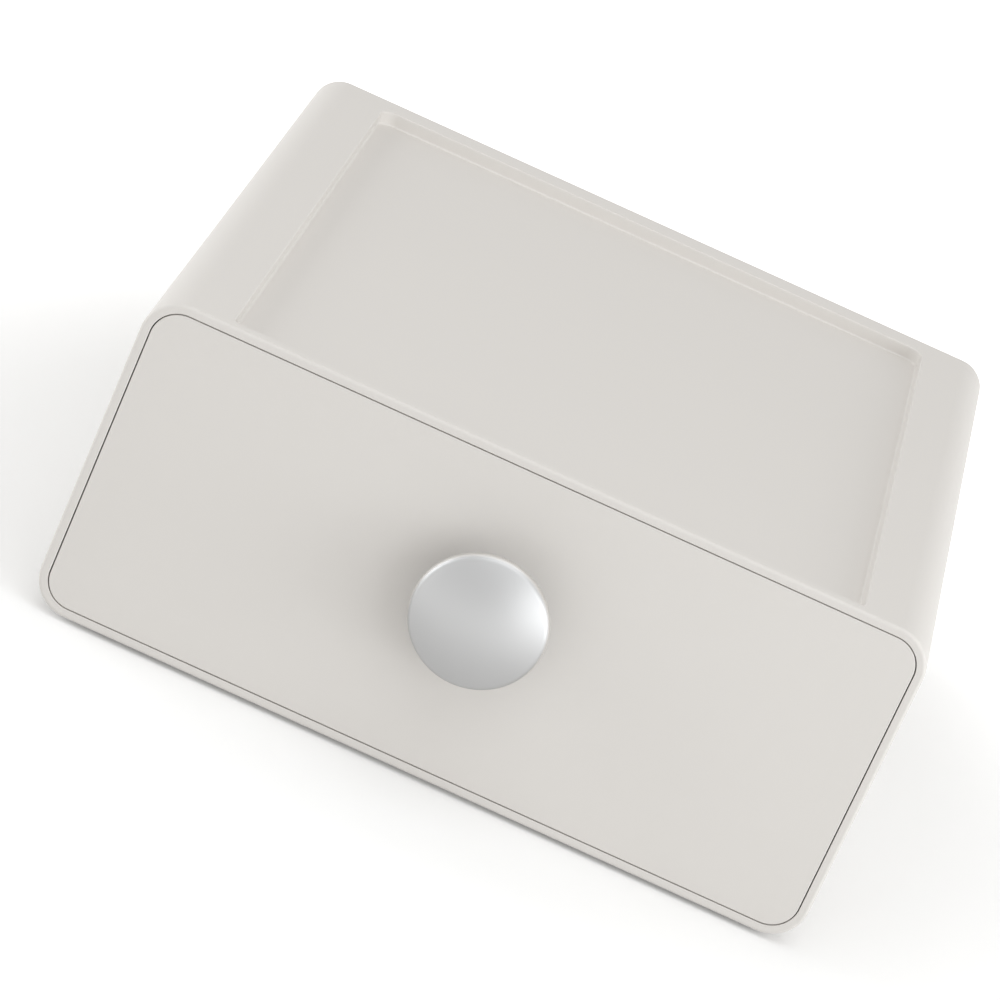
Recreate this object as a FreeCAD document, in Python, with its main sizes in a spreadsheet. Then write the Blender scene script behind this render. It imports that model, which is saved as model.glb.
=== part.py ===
import FreeCAD, Part
import math
import os
import re
import Sketcher
from FreeCAD import Placement, Rotation, Vector

# Desk drawer box: a rounded sleeve with a shallow well in its top, and one drawer with a round knob.
# Sizes are in millimetres. Each piece is drawn with x across the case, y back from its front face
# and z up from its underside, and is then placed so that the object stands centred on the origin.

doc = FreeCAD.newDocument("desk_drawer_box")
sheet = doc.addObject("Spreadsheet::Sheet", "Sizes")

sizes = {
    # case
    "case_width": 180.0,
    "case_depth": 200.0,
    "case_height": 76.4,
    "wall": 2.1,
    "corner_radius": 8.75,  # the four long edges
    "edge_round": 0.85,  # front and back outer edges
    "mouth_round": 0.25,  # inner edge of the mouth
    # shallow well in the top
    "well_depth": 3.35,
    "well_side_land": 17.5,
    "well_front_lip": 3.4,
    "well_back_lip": 8.4,
    "well_back_radius": 4.0,
    "well_front_radius": 1.2,
    "well_draft": 3.0,  # degrees
    "well_edge_round": 0.4,
    # drawer face
    "face_thickness": 2.0,
    "face_gap": 0.35,
    "face_edge_round": 0.35,
    "face_back_play": 0.2,
    # drawer tray
    "tray_wall": 1.8,
    "tray_side_gap": 1.2,
    "tray_top_gap": 4.5,  # from the rim up to the underside of the well
    "tray_corner_radius": 6.5,
    "tray_foot_round": 4.5,
    "tray_rim_round": 0.5,
    # runners under the tray and guides beside it
    "slide_play": 0.1,
    "runner_rise": 1.0,
    "runner_width": 3.0,
    "runner_inset": 28.0,  # from the side wall to the middle of the runner
    "guide_rise": 0.8,
    "guide_width": 3.0,
    "guide_level": 14.0,
    "rib_setback": 8.0,  # from the mouth, and from the back panel, to the ends of the ribs
    # springy catches on the tray and the ribs that stop them
    "drawer_travel": 160.0,
    "catch_width": 22.0,
    "catch_side_inset": 50.0,  # from the side of the case to the middle of the catch
    "catch_gap": 0.6,
    "catch_lead": 1.1,
    "catch_slit": 1.2,
    "catch_slit_depth": 16.0,
    "stop_drop": 2.0,
    "stop_thickness": 2.4,
    "stop_lead": 0.9,
    # back panel
    "panel_thickness": 2.1,
    "panel_inset": 2.0,  # how far it lies inside the back rim
    "panel_gap": 0.15,
    "panel_edge_round": 0.4,
    "tongue_width": 12.0,
    "tongue_side_inset": 45.0,
    "tongue_thickness": 1.0,
    "tongue_reach": 1.1,
    "tongue_play": 0.1,
    "ledge_rise": 0.9,
    "ledge_length": 1.5,
    "ledge_height": 40.0,
    # screw blocks in the upper back corners
    "block_side": 7.2,
    "block_length": 8.5,
    "block_round": 1.5,
    "block_screw_inset": 4.2,
    # small screws, two through the back panel and four into the face
    "small_shank_radius": 1.1,
    "small_pilot_play": 0.05,
    "small_hole_play": 0.35,
    "small_head_radius": 2.4,
    "small_head_height": 1.6,
    "small_head_bevel": 0.6,
    "small_tip": 0.5,
    "small_cross_width": 0.7,
    "small_cross_span": 2.6,
    "small_cross_depth": 0.9,
    "back_screw_length": 8.0,
    "collar_overlap": 0.7,  # how far the collar of a face screw covers the rim of its hole
    "collar_thickness": 0.6,
    "face_screw_length": 3.0,
    "face_screw_side_inset": 32.0,
    "face_screw_low": 14.0,
    "face_screw_top_inset": 20.4,
    "face_boss_radius": 2.8,
    "face_boss_short": 0.1,  # how far the boss ends inside the tray wall
    "face_boss_play": 0.2,
    "pilot_end_gap": 0.1,
    # knob, its screw and the washer
    "knob_rise": 4.25,  # its axis above the middle of the case
    "knob_radius": 15.2,
    "knob_projection": 15.0,
    "knob_dome_rise": 3.4,
    "knob_front_round": 2.0,
    "knob_back_round": 1.8,
    "knob_neck_radius": 6.5,
    "knob_neck_length": 2.4,
    "knob_cove_radius": 2.4,
    "knob_hole_tip": 118.0,  # degrees
    "knob_hole_spare": 1.2,
    "screw_shank_radius": 2.0,
    "screw_thread_play": 0.05,
    "screw_hole_play": 0.25,
    "screw_length": 12.0,
    "screw_head_radius": 3.8,
    "screw_head_height": 2.6,
    "screw_head_bevel": 1.0,
    "screw_tip": 0.5,
    "screw_cross_width": 1.1,
    "screw_cross_span": 4.4,
    "screw_cross_depth": 1.5,
    "washer_radius": 4.6,
    "washer_hole_play": 0.15,
    "washer_thickness": 0.8,
    # silicone feet and bumpers
    "foot_radius": 6.0,
    "foot_height": 1.6,
    "foot_seat_depth": 0.6,
    "foot_seat_play": 0.1,
    "foot_bevel": 0.35,
    "foot_side_inset": 20.0,
    "foot_end_inset": 18.0,
    "bumper_radius": 4.0,
    "bumper_height": 2.0,
    "bumper_bevel": 0.7,
    "bumper_play": 0.1,
    "bumper_side_inset": 28.0,
    "bumper_level": 34.0,
}
for row, (alias, size) in enumerate(sizes.items(), start=1):
    sheet.set(f"A{row}", alias)
    sheet.set(f"B{row}", str(size))
    sheet.setAlias(f"B{row}", alias)
doc.recompute()

# Places and mating sizes that follow from the sizes above.
inner_half = "(case_width / 2 - wall)"
inner_top = "(case_height - wall)"
inner_radius = "(corner_radius - wall)"
well_half = "(case_width / 2 - well_side_land)"
well_end = "(case_depth - well_back_lip)"
ceiling = "(case_height - well_depth - wall)"
mouth_depth = "(face_thickness + face_back_play)"
panel_back = "(case_depth - panel_inset)"
panel_front = f"({panel_back} - panel_thickness)"
tray_half = f"({inner_half} - tray_side_gap)"
tray_low = "(wall + runner_rise + slide_play)"
tray_high = f"({ceiling} - tray_top_gap)"
tray_front = "(face_thickness + tray_wall)"
tray_back = f"({panel_front} - bumper_height - bumper_play)"
catch_front = f"({tray_back} - tray_wall)"
catch_high = f"({ceiling} - catch_gap)"
catch_middle = "case_width / 2 - catch_side_inset"
catch_sides = (f"({catch_middle} - catch_width / 2)", f"({catch_middle} + catch_width / 2)")
stop_back = f"({catch_front} - drawer_travel - slide_play)"
stop_front = f"({stop_back} - stop_thickness)"
stop_low = f"({ceiling} - stop_drop)"
block_screw = (f"({inner_half} - block_screw_inset)", f"({inner_top} - block_screw_inset)")
face_screw_side = "(case_width / 2 - face_screw_side_inset)"
face_screws = [(face_screw_side, "face_screw_low"), (face_screw_side, "(case_height - face_screw_top_inset)")]
knob_axis = ("0", "(case_height / 2 + knob_rise)")
tongue_middle = "(case_width / 2 - tongue_side_inset)"
pilot_radius = "(small_shank_radius + small_pilot_play)"
screw_hole_radius = "(screw_shank_radius + screw_hole_play)"
face_hole_radius = "(face_boss_radius + face_boss_play)"
foot_side = "(case_width / 2 - foot_side_inset)"
foot_ends = {"front": "foot_end_inset", "back": "(case_depth - foot_end_inset)"}
bumper_side = "(case_width / 2 - bumper_side_inset)"
foot_rise = "(foot_height - foot_seat_depth)"
object_middle = "((case_depth - knob_projection) / 2)"

size_names = re.compile(r"[a-z][a-z_]*")
pieces = []


def linked(text):
    """The formula, with each size named as the sheet has it."""
    return size_names.sub(lambda m: "Sizes." + m[0] if m[0] in sizes else m[0], text)


def value(text):
    return float(sheet.evalExpression(linked(text)))


def place(piece, x="0", y="0", z="0", turn=0):
    """Stands a piece in the object: x, y and z are in the case's frame, turn is in degrees about x."""
    piece.Placement = Placement(Vector(), Rotation(Vector(1, 0, 0), turn))
    piece.setExpression(".Placement.Base.x", linked(x))
    piece.setExpression(".Placement.Base.y", linked(f"{y} - {object_middle}"))
    piece.setExpression(".Placement.Base.z", linked(f"{z} + {foot_rise}"))


def new_body(name):
    body = doc.addObject("PartDesign::Body", name)
    body.Label = name
    body.AllowCompound = True
    pieces.append(body)
    return body


def base_plane(body, role):
    return next(feature for feature in body.Origin.OriginFeatures if feature.Role == role)


def new_sketch(body, name, role, offset="0"):
    """A sketch on one of the body's own planes, moved along that plane's normal."""
    sketch = body.newObject("Sketcher::SketchObject", name)
    sketch.AttachmentSupport = [(base_plane(body, role), "")]
    sketch.MapMode = "FlatFace"
    sketch.setExpression("AttachmentOffset.Base.z", linked(offset))
    return sketch


def section_sketch(body, name, y="0"):
    """A sketch of a cross-section, x across and z up, at a distance y behind the front."""
    return new_sketch(body, name, "XZ_Plane", f"-({y})")


def plan_sketch(body, name, z="0"):
    return new_sketch(body, name, "XY_Plane", z)


def relate(sketch, *relations):
    for kind, *where in relations:
        sketch.addConstraint(Sketcher.Constraint(kind, *where))


def dimension(sketch, text, kind, *where):
    """A dimension of the sketch that follows a formula."""
    index = sketch.addConstraint(Sketcher.Constraint(kind, *where, value(text)))
    sketch.setExpression(f"Constraints[{index}]", linked(text))


def pin(sketch, part, point, x=None, y=None):
    """Holds a point of the sketch at its distances from the two axes."""
    for kind, axis, text in (("DistanceX", -2, x), ("DistanceY", -1, y)):
        if text is None:
            continue
        if abs(value(text)) < 1e-9:
            relate(sketch, ("PointOnObject", part, point, axis))
        elif value(text) > 0:
            dimension(sketch, text, kind, -1, 1, part, point)
        else:
            dimension(sketch, f"-({text})", kind, part, point, -1, 1)


def outline(sketch, corners):
    """A closed outline of level and upright lines. A corner is x, y and, where it is rounded, a radius."""
    points = [Vector(value(corner[0]), value(corner[1]), 0) for corner in corners]
    radii = [value(corner[2]) if len(corner) > 2 else 0 for corner in corners]
    count = len(corners)
    headings = [(points[(i + 1) % count] - points[i]).normalize() for i in range(count)]
    lines = []
    for i in range(count):
        after = (i + 1) % count
        start = points[i] + headings[i] * radii[i]
        end = points[after] - headings[i] * radii[after]
        line = sketch.addGeometry(Part.LineSegment(start, end))
        if abs(headings[i].x) < 0.5:
            relate(sketch, ("Vertical", line))
            pin(sketch, line, 1, x=corners[i][0])
        else:
            relate(sketch, ("Horizontal", line))
            pin(sketch, line, 1, y=corners[i][1])
        lines.append(line)
    for i in range(count):
        if not radii[i]:
            relate(sketch, ("Coincident", lines[i - 1], 2, lines[i], 1))
            continue
        arrive, leave = headings[i - 1] * radii[i], headings[i] * radii[i]
        centre = points[i] - arrive + leave
        turns_left = arrive.cross(leave).z > 0
        spoke = -leave if turns_left else arrive
        start = math.atan2(spoke.y, spoke.x)
        whole = Part.Circle(centre, Vector(0, 0, 1), radii[i])
        arc = sketch.addGeometry(Part.ArcOfCircle(whole, start, start + math.pi / 2))
        first, last = (1, 2) if turns_left else (2, 1)
        relate(sketch, ("Tangent", lines[i - 1], 2, arc, first), ("Tangent", arc, last, lines[i], 1))
        dimension(sketch, corners[i][2], "Radius", arc)


def rectangle(sketch, left, right, low, high, *radius):
    outline(sketch, [(x, y, *radius) for x, y in ((left, low), (right, low), (right, high), (left, high))])


def cross(sketch, x, y, width, span):
    """The outline of a cross recess round a point."""
    a, b = f"{width} / 2", f"{span} / 2"
    corners = [(b, a), (a, a), (a, b), (f"-{a}", b), (f"-{a}", a), (f"-{b}", a)]
    corners += [(f"-{p}", f"-{q}") for p, q in corners[:3]] + [(a, f"-{b}"), (a, f"-{a}"), (b, f"-{a}")]
    outline(sketch, [(f"{x} + {p}", f"{y} + {q}") for p, q in corners])


def circle(sketch, x, y, radius):
    part = sketch.addGeometry(Part.Circle(Vector(value(x), value(y), 0), Vector(0, 0, 1), value(radius)))
    pin(sketch, part, 3, x, y)
    dimension(sketch, radius, "Radius", part)


def circles(sketch, centres, radius):
    for x, y in centres:
        circle(sketch, x, y, radius)


def pad(body, name, sketch, length, forward=False):
    """Adds material from the sketch: up from a plan, and back from a section unless forward is set."""
    feature = body.newObject("PartDesign::Pad", name)
    feature.Profile = sketch
    feature.Reversed = sketch.AttachmentSupport[0][0].Role == "XZ_Plane" and not forward
    feature.setExpression("Length", linked(length))
    doc.recompute()
    return feature


def pocket(body, name, sketch, length, flip=False, draft=None):
    """Takes material away: down from a plan and back from a section, or the other way if flip is set."""
    before = body.Tip.Shape.Volume
    feature = body.newObject("PartDesign::Pocket", name)
    feature.Profile = sketch
    feature.Reversed = flip
    feature.setExpression("Length", linked(length))
    if draft:
        feature.setExpression("TaperAngle", linked(draft))
    doc.recompute()
    if feature.Shape.Volume > before - 1e-3:
        raise RuntimeError(f"{body.Label}: {name} takes nothing away")
    return feature


def mirrored(body, name, *features):
    """The same features again on the other side of the middle."""
    mirror = body.newObject("PartDesign::Mirrored", name)
    mirror.Originals = list(features)
    mirror.MirrorPlane = (base_plane(body, "YZ_Plane"), [""])
    body.Tip = mirror
    doc.recompute()


def soften(body, name, kind, size, pick):
    """A Fillet or Chamfer on the edges that pick finds on the body as it stands."""
    base = body.Tip
    wanted = pick(base.Shape)
    numbered = enumerate(base.Shape.Edges, start=1)
    names = [f"Edge{i}" for i, edge in numbered if any(edge.isSame(other) for other in wanted)]
    if not names:
        raise RuntimeError(f"{body.Label}: {name} finds no edge")
    feature = body.newObject("PartDesign::" + kind, name)
    feature.Base = (base, names)
    feature.setExpression({"Fillet": "Radius", "Chamfer": "Size"}[kind], linked(size))
    doc.recompute()


def span(shape, axis):
    box = shape.BoundBox
    return ((box.XMin, box.XMax), (box.YMin, box.YMax), (box.ZMin, box.ZMax))[axis]


def lies_at(shape, axis, text):
    """Whether a shape lies flat at a distance along an axis: 0 is x, 1 is y and 2 is z."""
    return all(abs(end - value(text)) < 1e-4 for end in span(shape, axis))


def flat_face(shape, axis, text):
    """The largest flat face at a distance along an axis."""
    faces = [face for face in shape.Faces if lies_at(face, axis, text)]
    return max(faces, key=lambda face: face.OuterWire.BoundBox.DiagonalLength)


def outer_edges(axis, text):
    return lambda shape: flat_face(shape, axis, text).OuterWire.Edges


def inner_edges(axis, text):
    def pick(shape):
        face = flat_face(shape, axis, text)
        holes = [wire for wire in face.Wires if not wire.isSame(face.OuterWire)]
        return max(holes, key=lambda wire: wire.BoundBox.DiagonalLength).Edges
    return pick


def edges_between(*levels):
    """Picks the edges that lie at every given distance: each is an axis and a formula."""
    return lambda shape: [edge for edge in shape.Edges if all(lies_at(edge, *level) for level in levels)]


def round_edges(axis, text, radius):
    """Picks whole circles of one radius that lie at a distance along an axis."""
    def pick(shape):
        return [edge for edge in shape.Edges
                if isinstance(edge.Curve, Part.Circle) and lies_at(edge, axis, text)
                and abs(edge.Curve.Radius - value(radius)) < 1e-4]
    return pick


def make_sleeve():
    """Straight tube with the well let into its top, ribs for the drawer and seats for what it carries."""
    body = new_body("case_sleeve")
    section = section_sketch(body, "sleeve_section")
    rectangle(section, "-case_width / 2", "case_width / 2", "0", "case_height", "corner_radius")
    rectangle(section, f"-{inner_half}", inner_half, "wall", inner_top, inner_radius)
    pad(body, "sleeve", section, "case_depth")
    soften(body, "front_edge", "Fillet", "edge_round", outer_edges(1, "0"))
    soften(body, "back_edge", "Fillet", "edge_round", outer_edges(1, "case_depth"))
    soften(body, "mouth_edge", "Fillet", "mouth_round", inner_edges(1, "0"))

    # The well hangs under the top wall as a trough, one wall thick all round.
    trough = section_sketch(body, "trough_section", mouth_depth)
    rectangle(trough, f"-({well_half} + wall)", f"{well_half} + wall", ceiling, "case_height - wall / 2")
    pad(body, "trough", trough, f"{well_end} + wall - {mouth_depth}")
    well = plan_sketch(body, "well_outline", "case_height")
    outline(well, [
        (f"-{well_half}", "well_front_lip", "well_front_radius"),
        (well_half, "well_front_lip", "well_front_radius"),
        (well_half, well_end, "well_back_radius"),
        (f"-{well_half}", well_end, "well_back_radius"),
    ])
    pocket(body, "well", well, "well_depth", draft="-well_draft")
    soften(body, "well_edge", "Fillet", "well_edge_round", inner_edges(2, "case_height"))

    # Runners carry the tray and guides keep it in line.
    ribs = section_sketch(body, "rib_section", "rib_setback")
    runner_middle = f"{inner_half} - runner_inset"
    rectangle(ribs, f"{runner_middle} - runner_width / 2", f"{runner_middle} + runner_width / 2",
              "wall / 2", "wall + runner_rise")
    rectangle(ribs, f"{inner_half} - guide_rise", f"{inner_half} + wall / 2",
              "guide_level", "guide_level + guide_width")
    mirrored(body, "ribs_both", pad(body, "ribs", ribs, f"{panel_front} - 2 * rib_setback"))

    # The catches of the tray meet these ribs when the drawer is fully out. Both are bevelled on the
    # sides that pass each other when the drawer is first pushed in.
    stop = section_sketch(body, "stop_section", stop_front)
    rectangle(stop, *catch_sides, stop_low, f"{ceiling} + wall / 2")
    mirrored(body, "stops_both", pad(body, "stop", stop, "stop_thickness"))
    soften(body, "stop_leads", "Chamfer", "stop_lead", edges_between((1, stop_front), (2, stop_low)))

    # The back panel seats against ledges on the sides and against a screw block in each upper corner.
    ledge = section_sketch(body, "ledge_section", f"{panel_front} - ledge_length")
    rectangle(ledge, f"{inner_half} - ledge_rise", f"{inner_half} + wall / 2",
              "(case_height - ledge_height) / 2", "(case_height + ledge_height) / 2")
    mirrored(body, "ledges_both", pad(body, "ledge", ledge, "ledge_length"))
    block = section_sketch(body, "block_section", f"{panel_front} - block_length")
    outline(block, [
        (f"{inner_half} - block_side", f"{inner_top} - block_side", "block_round"),
        (f"{inner_half} + wall / 2", f"{inner_top} - block_side"),
        (f"{inner_half} + wall / 2", f"{inner_top} + wall / 2", "corner_radius - wall / 2"),
        (f"{inner_half} - block_side", f"{inner_top} + wall / 2"),
    ])
    mirrored(body, "blocks_both", pad(body, "block", block, "block_length"))
    pilot = section_sketch(body, "block_pilot_circle", panel_front)
    circle(pilot, *block_screw, pilot_radius)
    pilot_depth = "back_screw_length - panel_thickness + pilot_end_gap"
    mirrored(body, "block_pilots", pocket(body, "block_pilot", pilot, pilot_depth, flip=True))

    # The tongues of the back panel drop into slots in the floor, and the feet sit in seats under it.
    slot = plan_sketch(body, "slot_outline", "wall")
    slot_half = "(tongue_width / 2 + tongue_play)"
    rectangle(slot, f"{tongue_middle} - {slot_half}", f"{tongue_middle} + {slot_half}",
              f"{panel_front} - tongue_play", f"{panel_front} + tongue_thickness + tongue_play")
    mirrored(body, "tongue_slots", pocket(body, "tongue_slot", slot, "tongue_reach + tongue_play"))
    seats = plan_sketch(body, "seat_circles")
    for y in foot_ends.values():
        circle(seats, foot_side, y, "foot_radius + foot_seat_play")
    mirrored(body, "foot_seats", pocket(body, "foot_seat", seats, "foot_seat_depth", flip=True))
    place(body)


def make_back_panel():
    """Plate inside the back rim, with two tongues at its foot and a screw hole in each upper corner."""
    body = new_body("back_panel")
    plate = section_sketch(body, "panel_outline", panel_front)
    rectangle(plate, f"-({inner_half} - panel_gap)", f"{inner_half} - panel_gap", "wall + panel_gap",
              f"{inner_top} - panel_gap", f"{inner_radius} - panel_gap")
    pad(body, "panel", plate, "panel_thickness")
    soften(body, "panel_edge", "Fillet", "panel_edge_round", outer_edges(1, panel_back))
    tongue = section_sketch(body, "tongue_outline", panel_front)
    rectangle(tongue, f"{tongue_middle} - tongue_width / 2", f"{tongue_middle} + tongue_width / 2",
              "wall - tongue_reach", "wall + panel_gap + tongue_reach")
    mirrored(body, "tongues", pad(body, "tongue", tongue, "tongue_thickness"))
    hole = section_sketch(body, "panel_hole_circle", panel_front)
    circle(hole, *block_screw, "small_shank_radius + small_hole_play")
    mirrored(body, "panel_holes", pocket(body, "panel_hole", hole, "panel_thickness"))
    place(body)


def make_drawer_front():
    """Flush face plate with four bosses that reach into the front wall of the tray."""
    body = new_body("drawer_front")
    plate = section_sketch(body, "face_outline")
    rectangle(plate, f"-({inner_half} - face_gap)", f"{inner_half} - face_gap", "wall + face_gap",
              f"{inner_top} - face_gap", f"{inner_radius} - face_gap")
    pad(body, "face", plate, "face_thickness")
    soften(body, "face_edge", "Fillet", "face_edge_round", outer_edges(1, "0"))
    bosses = section_sketch(body, "face_boss_circles", "face_thickness")
    circles(bosses, face_screws, "face_boss_radius")
    mirrored(body, "face_bosses", pad(body, "face_boss", bosses, "tray_wall - face_boss_short"))
    pilots = section_sketch(body, "face_pilot_circles", tray_front)
    circles(pilots, face_screws, pilot_radius)
    mirrored(body, "face_pilots",
             pocket(body, "face_pilot", pilots, "face_screw_length + pilot_end_gap", flip=True))
    hole = section_sketch(body, "face_hole_circle")
    circle(hole, *knob_axis, screw_hole_radius)
    pocket(body, "face_hole", hole, "face_thickness")
    place(body)


def make_drawer_tray():
    """Open moulded tray with rounded foot edges and two springy catches cut free of its back wall."""
    body = new_body("drawer_tray")
    plan = plan_sketch(body, "tray_outline", tray_low)
    rectangle(plan, f"-{tray_half}", tray_half, "face_thickness", tray_back, "tray_corner_radius")
    pad(body, "tray_block", plan, f"{tray_high} - {tray_low}")
    soften(body, "tray_foot_edge", "Fillet", "tray_foot_round", outer_edges(2, tray_low))
    solid = body.Tip
    top = flat_face(solid.Shape, 2, tray_high)
    top_name = next(f"Face{i}" for i, face in enumerate(solid.Shape.Faces, start=1) if face.isSame(top))
    shell = body.newObject("PartDesign::Thickness", "tray_shell")
    shell.Base = (solid, [top_name])
    shell.Reversed = True
    shell.setExpression("Value", linked("tray_wall"))
    doc.recompute()
    soften(body, "tray_rim", "Fillet", "tray_rim_round", inner_edges(2, tray_high))

    catch = section_sketch(body, "catch_outline", catch_front)
    rectangle(catch, *catch_sides, f"{tray_high} - catch_slit_depth / 2", catch_high)
    mirrored(body, "catches", pad(body, "catch", catch, "tray_wall"))
    soften(body, "catch_leads", "Chamfer", "catch_lead", edges_between((1, tray_back), (2, catch_high)))
    slits = section_sketch(body, "slit_outlines", catch_front)
    left, right = catch_sides
    for low, high in ((f"{left} - catch_slit", left), (right, f"{right} + catch_slit")):
        rectangle(slits, low, high, f"{tray_high} - catch_slit_depth", f"{tray_high} + catch_slit")
    mirrored(body, "slits_both", pocket(body, "slits", slits, "tray_wall"))

    holes = section_sketch(body, "tray_boss_holes", "face_thickness")
    circles(holes, face_screws, face_hole_radius)
    mirrored(body, "boss_holes", pocket(body, "boss_hole", holes, "tray_wall"))
    hole = section_sketch(body, "tray_hole_circle", "face_thickness")
    circle(hole, *knob_axis, screw_hole_radius)
    pocket(body, "tray_hole", hole, "tray_wall")
    place(body)


def make_knob():
    """Turned mushroom knob: neck, cove, rounded rim and shallow dome, with a drilled hole for its screw."""
    body = new_body("knob")
    profile = new_sketch(body, "knob_profile", "XZ_Plane")
    radius, high, rise = value("knob_radius"), value("knob_projection"), value("knob_dome_rise")
    front, back, cove = value("knob_front_round"), value("knob_back_round"), value("knob_cove_radius")
    neck, straight = value("knob_neck_radius"), value("knob_neck_length")
    rim = high - rise - front

    # The dome is one arc that meets the front rounding smoothly.
    across = radius - front
    dome = (across**2 + (rise + front)**2 - front**2) / (2 * rise)
    lean = math.atan2(across, dome - rise - front)

    # The underside is the straight line that touches both the cove and the back rounding.
    cove_middle = Vector(neck + cove, straight, 0)
    back_middle = Vector(radius - back, rim, 0)
    way = back_middle - cove_middle
    square = math.atan2(way.y, way.x) + math.acos((cove + back) / way.Length)
    normal = Vector(math.cos(square), math.sin(square), 0)

    def line(start, end):
        return profile.addGeometry(Part.LineSegment(start, end))

    def arc(middle, size, start, end):
        return profile.addGeometry(Part.ArcOfCircle(Part.Circle(middle, Vector(0, 0, 1), size), start, end))

    up = math.pi / 2
    axis = line(Vector(0, high, 0), Vector(0, 0, 0))
    foot = line(Vector(0, 0, 0), Vector(neck, 0, 0))
    side = line(Vector(neck, 0, 0), Vector(neck, straight, 0))
    cove_arc = arc(cove_middle, cove, square, 2 * up)
    under = line(cove_middle + normal * cove, back_middle - normal * back)
    back_arc = arc(back_middle, back, square - 2 * up, 0)
    front_arc = arc(Vector(across, rim, 0), front, 0, up - lean)
    dome_arc = arc(Vector(0, high - dome, 0), dome, up - lean, up)
    relate(
        profile,
        ("Coincident", axis, 2, -1, 1),
        ("Coincident", axis, 2, foot, 1),
        ("Coincident", foot, 2, side, 1),
        ("Tangent", side, 2, cove_arc, 2),
        ("Tangent", cove_arc, 1, under, 1),
        ("Tangent", under, 2, back_arc, 1),
        ("Tangent", back_arc, 2, front_arc, 1),
        ("Tangent", front_arc, 2, dome_arc, 1),
        ("Coincident", dome_arc, 2, axis, 1),
        ("Vertical", axis),
        ("Horizontal", foot),
        ("Vertical", side),
        ("PointOnObject", dome_arc, 3, -2),
        ("Horizontal", back_arc, 3, back_arc, 2),
    )
    dimension(profile, "knob_neck_radius", "DistanceX", foot, 1, foot, 2)
    dimension(profile, "knob_neck_length", "DistanceY", side, 1, side, 2)
    dimension(profile, "knob_projection", "DistanceY", axis, 2, axis, 1)
    dimension(profile, "knob_radius", "DistanceX", -1, 1, back_arc, 2)
    rim_level = "knob_projection - knob_dome_rise - knob_front_round"
    dimension(profile, rim_level, "DistanceY", -1, 1, back_arc, 2)
    dimension(profile, "knob_cove_radius", "Radius", cove_arc)
    dimension(profile, "knob_back_round", "Radius", back_arc)
    dimension(profile, "knob_front_round", "Radius", front_arc)
    turned = body.newObject("PartDesign::Revolution", "knob_turned")
    turned.Profile = profile
    turned.ReferenceAxis = (profile, ["V_Axis"])
    turned.Angle = 360
    doc.recompute()

    mark = plan_sketch(body, "knob_hole_circle")
    circle(mark, "0", "0", "screw_shank_radius + screw_thread_play")
    hole = body.newObject("PartDesign::Hole", "knob_hole")
    hole.Profile = mark
    doc.recompute()
    hole.Reversed = True
    hole.DepthType = "Dimension"
    hole.DrillPoint = "Angled"
    hole.setExpression("DrillPointAngle", linked("knob_hole_tip"))
    hole.setExpression("Diameter", linked("2 * (screw_shank_radius + screw_thread_play)"))
    grip = f"screw_length - washer_thickness - {tray_front}"
    hole.setExpression("Depth", linked(f"{grip} + knob_hole_spare"))
    doc.recompute()
    place(body, z=knob_axis[1], turn=90)


def make_screws(name, kind, centres, seat, length, collar=False, both_sides=True):
    """Pan head screws with a cross recess, one at each centre, their heads behind the seat."""
    body = new_body(name)
    steps = []
    head_seat = seat
    if collar:
        collars = section_sketch(body, f"{name}_collar", seat)
        circles(collars, centres, f"{face_hole_radius} + collar_overlap")
        steps.append(pad(body, f"{name}_collars", collars, "collar_thickness"))
        head_seat = f"({seat} + collar_thickness)"
    heads = section_sketch(body, f"{name}_head", head_seat)
    circles(heads, centres, f"{kind}_head_radius")
    steps.append(pad(body, f"{name}_heads", heads, f"{kind}_head_height"))
    shanks = section_sketch(body, f"{name}_shank", seat)
    circles(shanks, centres, f"{kind}_shank_radius")
    steps.append(pad(body, f"{name}_shanks", shanks, length, forward=True))
    head_top = f"{head_seat} + {kind}_head_height"
    recess = section_sketch(body, f"{name}_cross", head_top)
    for x, z in centres:
        cross(recess, x, z, f"{kind}_cross_width", f"{kind}_cross_span")
    steps.append(pocket(body, f"{name}_recess", recess, f"{kind}_cross_depth", flip=True))
    if both_sides:
        mirrored(body, f"{name}_both", *steps)
    soften(body, f"{name}_head_edge", "Chamfer", f"{kind}_head_bevel",
           round_edges(1, head_top, f"{kind}_head_radius"))
    soften(body, f"{name}_tip_edge", "Chamfer", f"{kind}_tip",
           round_edges(1, f"{seat} - {length}", f"{kind}_shank_radius"))
    place(body)


def make_washer():
    body = new_body("knob_washer")
    ring = section_sketch(body, "washer_ring", tray_front)
    circle(ring, *knob_axis, "washer_radius")
    circle(ring, *knob_axis, "screw_shank_radius + washer_hole_play")
    pad(body, "washer", ring, "washer_thickness")
    place(body)


def make_pad(name, kind, x, y, z, turn):
    """A round silicone pad that stands on its flat side, with its free edge bevelled."""
    body = new_body(name)
    disc = plan_sketch(body, f"{name}_circle")
    circle(disc, "0", "0", f"{kind}_radius")
    pad(body, f"{name}_disc", disc, f"{kind}_height")
    edge = round_edges(2, f"{kind}_height", f"{kind}_radius")
    soften(body, f"{name}_edge", "Chamfer", f"{kind}_bevel", edge)
    place(body, x, y, z, turn)


make_sleeve()
make_back_panel()
make_drawer_front()
make_drawer_tray()
make_knob()
make_screws("back_screws", "small", [block_screw], panel_back, "back_screw_length")
make_screws("front_screws", "small", face_screws, tray_front, "face_screw_length", collar=True)
washer_back = f"({tray_front} + washer_thickness)"
make_screws("knob_screw", "screw", [knob_axis], washer_back, "screw_length", both_sides=False)
make_washer()
for side, sign in (("left", "-"), ("right", "")):
    for end, y in foot_ends.items():
        make_pad(f"foot_{end}_{side}", "foot", sign + foot_side, y, "foot_seat_depth", 180)
    make_pad(f"bumper_{side}", "bumper", sign + bumper_side, panel_front, "bumper_level", 90)
doc.recompute()

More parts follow.
